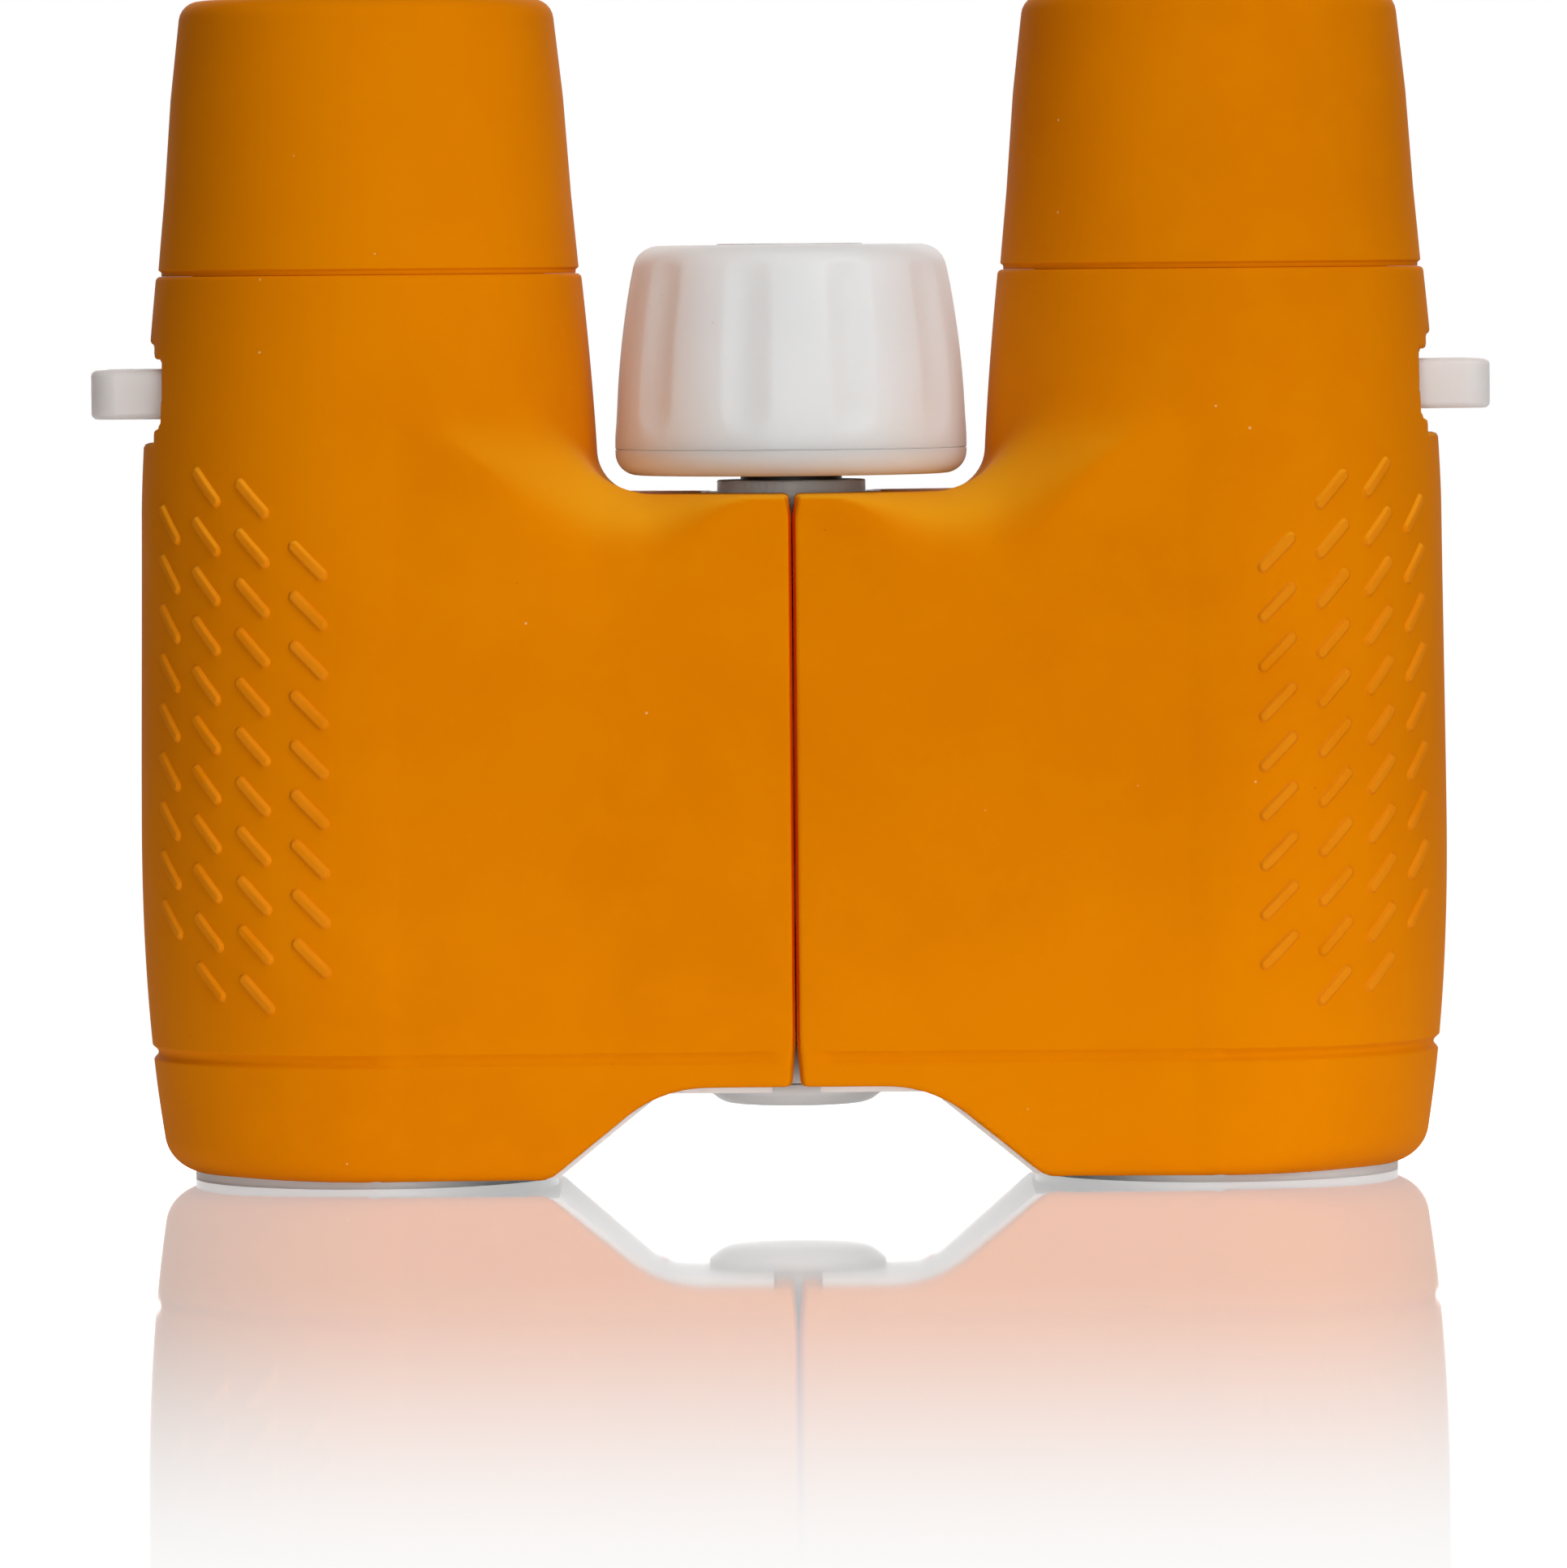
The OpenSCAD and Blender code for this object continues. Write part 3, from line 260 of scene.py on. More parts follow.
def armour_field(x, y, z):
    """Distance to the right half's armour: negative inside the rubber."""
    around = np.hypot(widened(x, z) - BARREL_X, y)
    radius = skin_radius(z)
    outward = ease((x - BARREL_X) / FOOT_ROUND_SPAN)
    foot_round = FOOT_ROUND + (FOOT_ROUND_OUT - FOOT_ROUND) * outward
    barrel = round_cut(foot_round, around - radius, LIP_H - z)
    barrel = round_cut(COLLAR_ROUND, barrel, z - COLLAR_TOP)

    front = (BARREL_X - x) * math.sin(FRONT_SLANT) - y * math.cos(FRONT_SLANT) - radius
    fillet = NECK_FILLET + NECK_SCOOP * ease((-y - NECK_SCOOP_FROM) / NECK_SCOOP_SPAN)
    shelf = round_join(fillet, z - BRIDGE_H, around - radius)
    swelling = ease((x - SHELF_GROW) / SHELF_GROW_SPAN) * (1 - ease((x - SHELF_FADE) / SHELF_FADE_SPAN))
    easing = SHELF_EASE_SEAM + (SHELF_EASE - SHELF_EASE_SEAM) * swelling
    face = soft_cut(easing, front, shelf)
    sole = round_cut(foot_round, front, LIP_H - z)
    back, relief = back_fields(x, y)
    hinge = HINGE_CLEAR_R - np.hypot(x, y)
    bridge = round_cut(
        EDGE, face, seam_side(z, -front) - x, x - BARREL_X, arch_field(x, z), sole, back, relief,
        y - BACK_ROOT[1], hinge, z - BRIDGE_H - fillet - NECK_OVER,
    )
    back_fillet = BACK_FILLET * ease(y / BACK_FILLET_GROW) * ease((BRIDGE_H - z) / BACK_FILLET_FADE)
    skin = round_join(back_fillet + LEAST_FILLET, barrel, bridge)
    skin = np.maximum(skin, LIP_H - z)

    groove = scoop(((z - GROOVE_Z) / GROOVE_HALF) ** 2)
    skin = skin + GROOVE_DEPTH * groove * ease((x - GROOVE_FROM) / GROOVE_SPAN)
    for depth, width, height in POCKETS:
        skin = round_cut(POCKET_EDGE, skin, -pocket(x, y, z, depth, width, height))
    return np.maximum(skin, -chassis_room(x, y, z, face, np.maximum(back, relief)))


def grid_line(*stops):
    """Grid positions from (start, step) pairs and a closing end."""
    line = []
    ends = [s[0] for s in stops[1:-1]] + [stops[-1]]
    for (start, step), end in zip(stops[:-1], ends):
        count = max(1, round((end - start) / step))
        line.extend(np.linspace(start, end, count, endpoint=False))
    return np.array(line + [stops[-1]])


def field_slope(field, points):
    """Gradient of a field at points."""
    slope = np.empty_like(points)
    for axis in range(3):
        step = np.zeros(3)
        step[axis] = SLOPE_REACH
        slope[:, axis] = (field(*(points + step).T) - field(*(points - step).T)) / (2 * SLOPE_REACH)
    return slope


def surface_cells(values, lines):
    """Numbers of the grid's cells that the zero surface crosses, and a first point in each."""
    inside = values < 0
    shape = tuple(n - 1 for n in values.shape)
    corners = [(i, j, k) for i in (0, 1) for j in (0, 1) for k in (0, 1)]

    def at_corner(corner):
        return inside[tuple(slice(c, c + n) for c, n in zip(corner, shape))].astype(np.int8)

    filled = sum(at_corner(c) for c in corners)
    cells = np.argwhere((filled > 0) & (filled < len(corners)))
    number = np.full(shape, -1)
    number[tuple(cells.T)] = np.arange(len(cells))
    total, hits = np.zeros((len(cells), 3)), np.zeros(len(cells))
    for axis in range(3):
        for corner in corners:
            if corner[axis]:
                continue
            near = cells + corner
            far = near.copy()
            far[:, axis] += 1
            a, b = values[tuple(near.T)], values[tuple(far.T)]
            crossed = (a < 0) != (b < 0)
            share = (a / np.where(crossed, a - b, 1))[:, None]
            start = np.stack([lines[d][near[:, d]] for d in range(3)], 1)
            end = np.stack([lines[d][far[:, d]] for d in range(3)], 1)
            total[crossed] += (start + (end - start) * share)[crossed]
            hits[crossed] += 1
    return number, total / hits[:, None]


def surface_faces(inside, number):
    """A quad round each grid edge that the surface crosses, facing outward."""
    faces = []
    for axis in range(3):
        b, c = (axis + 1) % 3, (axis + 2) % 3
        low = [slice(None)] * 3
        high = [slice(None)] * 3
        low[axis], high[axis] = slice(0, -1), slice(1, None)
        before, after = inside[tuple(low)], inside[tuple(high)]
        for order, crossed in ((1, before & ~after), (-1, ~before & after)):
            edges = np.argwhere(crossed)
            edges = edges[(edges[:, b] > 0) & (edges[:, c] > 0)]
            edges = edges[(edges[:, b] < number.shape[b]) & (edges[:, c] < number.shape[c])]
            quad = []
            for db, dc in ((-1, -1), (0, -1), (0, 0), (-1, 0)):
                cell = edges.copy()
                cell[:, b] += db
                cell[:, c] += dc
                quad.append(number[tuple(cell.T)])
            faces.append(np.stack(quad[::order], 1))
    return np.concatenate(faces)


def settled(field, points):
    """Points moved onto a field's zero surface."""
    for _ in range(SETTLE_ROUNDS):
        slope = field_slope(field, points)
        size = np.maximum((slope**2).sum(1), LEAST_SLOPE)
        move = slope * (field(*points.T) / size)[:, None]
        points = points - np.clip(move, -SETTLE_STEP, SETTLE_STEP)
    return points


def welded(points, faces):
    """Points that fall together made one, without the faces that vanish."""
    _, kept, number = np.unique(np.round(points / WELD), axis=0, return_index=True, return_inverse=True)
    corners = [list(dict.fromkeys(f)) for f in number.reshape(-1)[faces].tolist()]
    return points[kept], [c for c in corners if len(c) > 2]


def drawn_skin(field, xs, ys, zs):
    """Points, faces and normals of a field's zero surface, drawn on an uneven grid."""
    values = field(*np.meshgrid(xs, ys, zs, indexing="ij"))
    number, points = surface_cells(values, (xs, ys, zs))
    points, faces = welded(settled(field, points), surface_faces(values < 0, number))
    slope = field_slope(field, points)
    return points, faces, slope / np.linalg.norm(slope, axis=1)[:, None]


def rib_mesh(angle, height, facing):
    """One grip rib lying on the armour of the right half, as points and faces."""
    half = (RIB_LENGTH - RIB_WIDTH) / 2
    bend = np.linspace(-np.pi / 2, np.pi / 2, RIB_END_STEPS)
    side = np.linspace(half, -half, RIB_SIDE_STEPS)[1:-1]
    end = np.full(RIB_END_STEPS, half)
    reach = np.concatenate([end, side, -end, -side])
    outward = np.concatenate([np.cos(bend), 0 * side, -np.cos(bend), 0 * side])
    sideways = np.concatenate([np.sin(bend), 0 * side + 1, -np.sin(bend), 0 * side - 1])
    points, faces = [], []
    for share, rise in RIB_SHARES:
        along = reach + outward * share * RIB_WIDTH / 2
        across = sideways * share * RIB_WIDTH / 2
        s = along * math.cos(RIB_LEAN) - across * math.sin(RIB_LEAN)
        z = height + along * math.sin(RIB_LEAN) + across * math.cos(RIB_LEAN)
        phi = math.radians(angle) + s / BELLY_R
        r = skin_radius(z) + rise * RIB_HEIGHT
        oval = 1 + OVAL * ease((OVAL_FROM - z) / OVAL_SPAN) * (phi > 0)
        points.append(np.stack([BARREL_X + oval * r * np.sin(phi), -r * np.cos(phi), z], 1))
    n = len(reach)
    for k in range(len(RIB_SHARES) - 1):
        for i in range(n):
            j = (i + 1) % n
            faces.append([k * n + i, (k + 1) * n + i, (k + 1) * n + j, k * n + j])
    faces.append(list(range(n)))
    faces.append([(len(RIB_SHARES) - 1) * n + i for i in reversed(range(n))])
    points = np.concatenate(points)
    if facing > 0:
        points = points * [1, -1, 1]
        faces = [f[::-1] for f in faces]
    return points, faces


def grip_ribs():
    """Every rib of the right half, front and back."""
    groups = []
    for facing in (-1, 1):
        for angle, count, middle in RIB_COLUMNS:
            for i in range(count):
                groups.append(rib_mesh(angle, middle + (i - (count - 1) / 2) * RIB_PITCH, facing))
    return joined(groups)


def joined(groups):
    """Several meshes as one list of points and one of faces."""
    points, faces, start = [], [], 0
    for some_points, some_faces in groups:
        points.append(np.asarray(some_points, float))
        faces.extend([[start + i for i in f] for f in some_faces])
        start += len(some_points)
    return np.concatenate(points), faces


def rounded(corners, steps=CORNER_STEPS):
    """Outline through (a, b, radius) corners, each turned with an arc of its radius."""
    outline = []
    count = len(corners)
    for i, (a, b, r) in enumerate(corners):
        here = np.array((a, b), float)
        if r <= 0:
            outline.append(here)
            continue
        back = np.array(corners[i - 1][:2], float) - here
        ahead = np.array(corners[(i + 1) % count][:2], float) - here
        back, ahead = back / np.linalg.norm(back), ahead / np.linalg.norm(ahead)
        half = math.acos(np.clip(back @ ahead, -1, 1)) / 2
        middle = here + (back + ahead) / np.linalg.norm(back + ahead) * r / math.sin(half)
        start, end = here + back * r / math.tan(half), here + ahead * r / math.tan(half)
        a0, a1 = (math.atan2(*(p - middle)[::-1]) for p in (start, end))
        sweep = (a1 - a0 + math.pi) % (2 * math.pi) - math.pi
        for t in np.linspace(0, 1, steps + 1):
            outline.append(middle + r * np.array((math.cos(a0 + sweep * t), math.sin(a0 + sweep * t))))
    return np.array(outline)


def turned(outline, steps, x=0.0):
    """An outline of (radius, height) points turned about the upright axis at x."""
    spin = np.linspace(0, 2 * np.pi, steps, endpoint=False)
    points, rings, faces = [], [], []
    for r, z in outline:
        start = len(points)
        if r > 0:
            points.extend((x + r * math.cos(a), r * math.sin(a), z) for a in spin)
            rings.append(range(start, start + steps))
        else:
            points.append((x, 0.0, z))
            rings.append([start] * steps)
    for ring, after in zip(rings, rings[1:] + rings[:1]):
        for i in range(steps):
            j = (i + 1) % steps
            corners = list(dict.fromkeys((ring[i], ring[j], after[j], after[i])))
            if len(corners) > 2:
                faces.append(corners)
    return np.array(points), faces


def knob_radius(z):
    """Radius of the focus wheel's side at height z."""
    return KNOB_R - KNOB_TAPER * ((z - KNOB_SPLIT) / KNOB_TAPER_H) ** 2


def knob_mesh():
    """The fluted part of the focus wheel."""
    heights = np.linspace(KNOB_SIDE_FOOT, KNOB_SIDE_TOP, KNOB_SIDE_STEPS)
    outline = rounded([
        (WELL_R, KNOB_SPLIT, 0),
        (knob_radius(KNOB_SPLIT) - PARTING, KNOB_SPLIT, PARTING_ROUND),
        (knob_radius(KNOB_SPLIT + PARTING), KNOB_SPLIT + PARTING, PARTING_SIDE_ROUND),
        *((knob_radius(z), z, 0) for z in heights),
        (knob_radius(KNOB_TOP), KNOB_TOP, KNOB_TOP_ROUND),
        (WELL_MOUTH_R, KNOB_TOP, WELL_ROUND),
        (WELL_R, KNOB_TOP - WELL_MOUTH_H, WELL_FOOT_ROUND),
    ], KNOB_CORNER_STEPS)
    points, faces = turned(outline, KNOB_STEPS)
    x, y, z = points.T
    r = np.hypot(x, y)
    angle = np.degrees(np.arctan2(x, -y))
    offset = (angle - FLUTE_FIRST + 180 / FLUTES) % (360 / FLUTES) - 180 / FLUTES
    lower = np.maximum(FLUTE_FOOT + FLUTE_END - z, 0) / FLUTE_END
    hollow = scoop((offset / FLUTE_HALF) ** 2 + lower**2)
    rim = 1 - ease((z - FLUTE_RIM) / FLUTE_RIM_SPAN)
    scale = 1 - FLUTE_DEPTH * hollow * rim * (r > FLUTE_INNER_R) / np.maximum(r, 1)
    return points * np.stack([scale, scale, np.ones_like(scale)], 1), faces


def lug_mesh():
    """A strap lug's band, swept round its loop on the right side."""
    mid_w = (LUG_W - LUG_BAND) / 2
    near, far = LUG_ROOT_X + LUG_BAND / 2, LUG_TIP_X - LUG_BAND / 2
    bend = LUG_CORNER - LUG_BAND / 2
    root = LUG_ROOT_ROUND
    loop = [(near, -mid_w, root), (far, -mid_w, bend), (far, mid_w, bend), (near, mid_w, root)]
    path = rounded(loop, LUG_CORNER_STEPS)
    ahead = np.roll(path, -1, 0) - path
    ahead /= np.linalg.norm(ahead, axis=1)[:, None]
    tangent = ahead + np.roll(ahead, 1, 0)
    tangent /= np.linalg.norm(tangent, axis=1)[:, None]
    out = np.stack([tangent[:, 1], -tangent[:, 0]], 1)
    h, w = LUG_H / 2, LUG_BAND / 2
    band = [(-w, -h, LUG_EDGE), (w, -h, LUG_EDGE), (w, h, LUG_EDGE), (-w, h, LUG_EDGE)]
    section = rounded(band, LUG_EDGE_STEPS)
    points, faces = [], []
    for p, o in zip(path, out):
        points.append(np.column_stack([p + np.outer(section[:, 0], o), LUG_Z + section[:, 1]]))
    n, m = len(section), len(path)
    for i in range(m):
        j = (i + 1) % m
        for k in range(n):
            q = (k + 1) % n
            faces.append([i * n + k, j * n + k, j * n + q, i * n + q])
    return np.concatenate(points), faces


class Tone:
    """A shader value; arithmetic on it adds Math nodes to its material."""

    def __init__(self, paint, socket):
        self.paint, self.socket = paint, socket

    def _math(self, operation, a, b=0.0):
        return self.paint.node("ShaderNodeMath", {"operation": operation}, {0: a, 1: b})

    def __abs__(self):
        return self._math("ABSOLUTE", self)

    def __add__(self, other):
        return self._math("ADD", self, other)

    def __radd__(self, other):
        return self._math("ADD", other, self)

    def __sub__(self, other):
        return self._math("SUBTRACT", self, other)

    def __rsub__(self, other):
        return self._math("SUBTRACT", other, self)

    def __mul__(self, other):
        return self._math("MULTIPLY", self, other)

    def __rmul__(self, other):
        return self._math("MULTIPLY", other, self)

    def __lt__(self, other):
        return self._math("LESS_THAN", self, other)


class Paint:
    """A material or world under construction."""

    def __init__(self, owner):
        self.owner = owner
        owner.use_nodes = True
        self.tree = owner.node_tree
        self.tree.nodes.clear()

    def node(self, kind, settings=None, sockets=None, output=0):
        made = self.tree.nodes.new(kind)
        for key, value in (settings or {}).items():
            setattr(made, key, value)
        for key, value in (sockets or {}).items():
            if isinstance(value, Tone):
                self.tree.links.new(value.socket, made.inputs[key])
            else:
                made.inputs[key].default_value = value
        return Tone(self, made.outputs[output])

    def place(self):
        return self.node("ShaderNodeTexCoord", output="Object")

    def axis(self, vector, name):
        return self.node("ShaderNodeSeparateXYZ", None, {0: vector}, name)

    def noise(self, place, scale, detail=2.0, roughness=0.5):
        return self.node(
            "ShaderNodeTexNoise", None,
            {"Vector": place, "Scale": scale, "Detail": detail, "Roughness": roughness},
        )

    def ramp(self, value, low, high):
        """0 at low, 1 at high, smooth between."""
        return self.node(
            "ShaderNodeMapRange", {"interpolation_type": "SMOOTHSTEP"},
            {"Value": value, "From Min": low, "From Max": high},
        )

    def specks(self, place, scale, size, share):
        """Small round marks, in a share of the cells of a grid of that scale."""
        settings = {"feature": "F1"}
        sockets = {"Vector": place, "Scale": scale}
        distance = self.node("ShaderNodeTexVoronoi", settings, sockets, "Distance")
        colour = self.node("ShaderNodeTexVoronoi", settings, sockets, "Color")
        pick = self.node("ShaderNodeSeparateColor", None, {0: colour}, "Red")
        return (1 - self.ramp(distance, size * 0.5, size)) * (pick < share)

    def blend(self, amount, first, second):
        return self.node(
            "ShaderNodeMix", {"data_type": "RGBA"}, {0: amount, 6: first, 7: second}, 2
        )

    def bump(self, height, strength, distance):
        return self.node(
            "ShaderNodeBump", None, {"Strength": strength, "Distance": distance, "Height": height}
        )

    def surface(self, sockets):
        shader = self.node("ShaderNodeBsdfPrincipled", None, sockets)
        self.finish(shader)
        return self.owner

    def finish(self, shader):
        end = self.tree.nodes.new("ShaderNodeOutputMaterial")
        self.tree.links.new(shader.socket, end.inputs["Surface"])


def rgb(r, g, b):
    """A colour socket's value."""
    return (r, g, b, 1.0)


def new_paint(name):
    """An empty material."""
    return Paint(bpy.data.materials.new(name))


# Where the rubber's painted light lies, in metres: heights of the painted highlight on the shelf, and the
# outer edges of the painted red shade in the seam
SHELF_HIGHLIGHT_LOW, SHELF_HIGHLIGHT_HIGH = (0.046, 0.052), (0.067, 0.057)
SEAM_SHADE_X, SEAM_SHADE_Y = (0.00032, 0.00024), (-0.0158, -0.0164)


def orange_rubber(name="orange_rubber", paleness=0.0):
    """Matt rubber with a painted highlight on the shelf and painted red shade at the front of the seam; its
    second argument makes it paler in patches.
    """
    paint = new_paint(name)
    place = paint.place()
    cloud = paint.noise(place, 38.0)
    mottle = paint.noise(place, 260.0, 3.0)
    grain = paint.noise(place, 5200.0, 2.0, 0.6)
    dust = paint.specks(place, 330.0, 0.05, 0.16)
    pits = paint.specks(place, 410.0, 0.05, 0.1)
    colour = paint.blend(paint.ramp(cloud, 0.3, 0.7), rgb(0.70, 0.200, 0.0), rgb(0.76, 0.226, 0.0))
    colour = paint.blend(paint.ramp(mottle, 0.35, 0.75) * 0.3, colour, rgb(0.78, 0.242, 0.0))
    colour = paint.blend(pits * 0.5, colour, rgb(0.48, 0.12, 0.0))
    # Painted highlight: upward-facing rubber at the shelf's height is blended to a lighter, yellower orange
    upward = paint.axis(paint.node("ShaderNodeTexCoord", output="Normal"), "Z")
    height = paint.axis(place, "Z")
    shelf = paint.ramp(height, *SHELF_HIGHLIGHT_LOW) * paint.ramp(height, *SHELF_HIGHLIGHT_HIGH)
    colour = paint.blend(shelf * paint.ramp(upward, 0.2, 0.9) * 0.8, colour, rgb(0.87, 0.385, 0.01))
    # Painted shade: the faces at the front of the seam are blended to a deep red, standing in for light
    # bounced inside the gap
    beside = paint.ramp(abs(paint.axis(place, "X")), *SEAM_SHADE_X)
    seam = beside * paint.ramp(paint.axis(place, "Y"), *SEAM_SHADE_Y)
    colour = paint.blend(seam, colour, rgb(0.78, 0.09, 0.0))
    colour = paint.blend(dust * 0.55, colour, rgb(0.94, 0.62, 0.3))
    # Paler orange in mottled patches, as strong as the second argument
    colour = paint.blend(paleness * paint.ramp(mottle, 0.1, 0.6), colour, rgb(0.86, 0.345, 0.027))
    return paint.surface({
        "Base Color": colour,
        "Roughness": 0.6 + 0.14 * mottle + 0.06 * grain,
        "Specular IOR Level": 0.05,
        "Specular Tint": rgb(1.0, 0.55, 0.06),
        "Normal": paint.bump(grain, 0.12, 0.00006),
    })


def white_plastic(name="white_plastic", shade=(0.70, 0.695, 0.695), through=0.004, sheen=0.0):
    """Satin plastic; through is how far light travels in it, in metres, sheen its soft bright edge."""
    paint = new_paint(name)
    place = paint.place()
    cloud = paint.noise(place, 60.0)
    grain = paint.noise(place, 3000.0, 2.0)
    specks = paint.specks(place, 480.0, 0.06, 0.1)
    darker, lighter = rgb(*(s - 0.02 for s in shade)), rgb(*(s + 0.02 for s in shade))
    colour = paint.blend(paint.ramp(cloud, 0.3, 0.7), darker, lighter)
    colour = paint.blend(specks * 0.4, colour, rgb(0.42, 0.38, 0.35))
    return paint.surface({
        "Base Color": colour,
        "Roughness": 0.34 + 0.14 * cloud,
        "Subsurface Weight": 0.7,
        "Subsurface Radius": (1.0, 0.86, 0.78),
        "Subsurface Scale": through,
        "Sheen Weight": sheen,
        "Sheen Roughness": 0.9,
        "Sheen Tint": rgb(0.9, 0.97, 1.0),
        "Normal": paint.bump(grain, 0.06, 0.00005),
    })


def black_plastic():
    """Matt black of the tubes, cages and spacer."""
    paint = new_paint("black_plastic")
    place = paint.place()
    cloud = paint.noise(place, 120.0)
    grain = paint.noise(place, 4200.0, 2.0)
    return paint.surface({
        "Base Color": paint.blend(cloud, rgb(0.012, 0.012, 0.013), rgb(0.026, 0.026, 0.028)),
        "Roughness": 0.38 + 0.2 * cloud,
        "Normal": paint.bump(grain, 0.1, 0.00005),
    })


def lens_glass():
    """Clear glass with a bluish coating and a faint film."""
    paint = new_paint("lens_glass")
    place = paint.place()
    film = paint.noise(place, 90.0, 3.0)
    return paint.surface({
        "Base Color": paint.blend(film, rgb(0.93, 0.97, 0.98), rgb(0.97, 0.99, 0.99)),
        "Roughness": 0.01 + 0.03 * paint.ramp(film, 0.5, 0.8),
        "Transmission Weight": 1.0,
        "IOR": 1.52,
        "Coat Weight": 0.6,
        "Coat Tint": rgb(0.62, 0.80, 0.95),
        "Coat IOR": 1.7,
    })


def prism_glass():
    """Clear glass, a little duller than the lenses."""
    paint = new_paint("prism_glass")
    film = paint.noise(paint.place(), 150.0, 3.0)
    return paint.surface({
        "Base Color": paint.blend(film, rgb(0.90, 0.95, 0.94), rgb(0.96, 0.98, 0.98)),
        "Roughness": 0.02 + 0.06 * paint.ramp(film, 0.45, 0.8),
        "Transmission Weight": 0.95,
        "IOR": 1.57,
    })


def steel():
    """Bright steel with a fine grain."""
    paint = new_paint("steel")
    place = paint.place()
    grain = paint.noise(place, 900.0, 3.0)
    cloud = paint.noise(place, 140.0)
    return paint.surface({
        "Base Color": paint.blend(cloud, rgb(0.46, 0.46, 0.47), rgb(0.60, 0.60, 0.61)),
        "Metallic": 1.0,
        "Roughness": 0.24 + 0.2 * grain,
        "Normal": paint.bump(grain, 0.08, 0.00004),
    })


def brass():
    """Bright brass with a fine grain."""
    paint = new_paint("brass")
    place = paint.place()
    grain = paint.noise(place, 800.0, 3.0)
    cloud = paint.noise(place, 110.0)
    return paint.surface({
        "Base Color": paint.blend(cloud, rgb(0.56, 0.36, 0.11), rgb(0.70, 0.49, 0.19)),
        "Metallic": 1.0,
        "Roughness": 0.26 + 0.2 * grain,
        "Normal": paint.bump(grain, 0.08, 0.00004),
    })


PAINTS = {
    make.__name__: make()
    for make in (orange_rubber, white_plastic, black_plastic, lens_glass, prism_glass, steel, brass)
}
# Rubber of the grip ribs, made paler in patches
PALER_RUBBER = orange_rubber("paler_rubber", 0.22)
PALE = white_plastic("pale_plastic", (0.82, 0.82, 0.815))
# White plastic of the chassis, painted brighter than the other white parts to lift the shade on the rim
# under the armour and on the hinge plate under the wheel
SHADE_LIFTED_WHITE = white_plastic("shade_lifted_chassis_plastic", (0.94, 0.94, 0.935))
WHEEL = white_plastic("wheel_plastic", (0.735, 0.76, 0.778), 0.008, 1.0)


def piece(name, points, faces, body, finish, nodes=(), normals=None, paint=None):
    """A mesh riding on a CAD body in the place of CAD nodes."""
    mesh = bpy.data.meshes.new(name)
    mesh.from_pydata((np.asarray(points) * MM).tolist(), [], faces)
    mesh.polygons.foreach_set("use_smooth", [True] * len(mesh.polygons))
    mesh.materials.append(paint or PAINTS[finish])
    made = bpy.data.objects.new(name, mesh)
    bpy.context.scene.collection.objects.link(made)
    if normals is not None:
        mesh.normals_split_custom_set_from_vertices(normals.tolist())
    else:
        made.modifiers.new("even_normals", "WEIGHTED_NORMAL").keep_sharp = True
    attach(made, body)
    if nodes:
        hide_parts(*nodes)


def to_side(side, points, faces, normals=None):
    """A right-hand mesh as it is, or mirrored for the left half."""
    if SIDES[side] > 0:
        return points, faces, normals
    flip = np.array([-1, 1, 1])
    return points * flip, [f[::-1] for f in faces], None if normals is None else normals * flip


# Armour and grip ribs
skin = drawn_skin(armour_field, grid_line(*GRID_X), grid_line(*GRID_Y), grid_line(*GRID_Z))
ribs = grip_ribs()
for side in SIDES:
    body = f"{side}_half"
    points, faces, normals = to_side(side, *skin)
    piece(f"{side}_armour_skin", points, faces, body, "orange_rubber", [f"{side}_armour"], normals)
    points, faces, _ = to_side(side, *ribs)
    piece(f"{side}_grip_ribs", points, faces, body, "orange_rubber", paint=PALER_RUBBER)

# Eyecups
for side, body in (("left", "diopter_ring"), ("right", "right_half")):
    points, faces = turned(rounded(EYECUP_CORNERS), EYECUP_STEPS, SIDES[side] * BARREL_X)
    piece(f"{side}_eyecup_rubber", points, faces, body, "orange_rubber", [f"{side}_eyecup"])

# Focus wheel
piece("focus_knob_fluted", *knob_mesh(), "focus_wheel", "white_plastic", ["focus_knob"], paint=WHEEL)
base = turned(rounded(BASE_CORNERS, BASE_CORNER_STEPS), BASE_STEPS)
piece("knob_base_disc", *base, "focus_wheel", "white_plastic", ["knob_base"], paint=WHEEL)

# Hinge: plate under the wheel, painted brighter to lift the shade it sits in, and domed cap at the lower
# end
plate = turned(rounded(PLATE_CORNERS), HINGE_STEPS)
piece("hinge_plate", *plate, "left_half", "white_plastic", paint=SHADE_LIFTED_WHITE)
cap = turned(rounded(CAP_CORNERS), HINGE_STEPS)
piece("hinge_cap_dome", *cap, "left_half", "white_plastic", ["hinge_end_cap"], paint=PALE)

# Strap lugs
lug = lug_mesh()
for side in SIDES:
    points, faces, _ = to_side(side, *lug)
    piece(f"{side}_strap_loop", points, faces, f"{side}_half", "white_plastic", [f"{side}_strap_lug"])

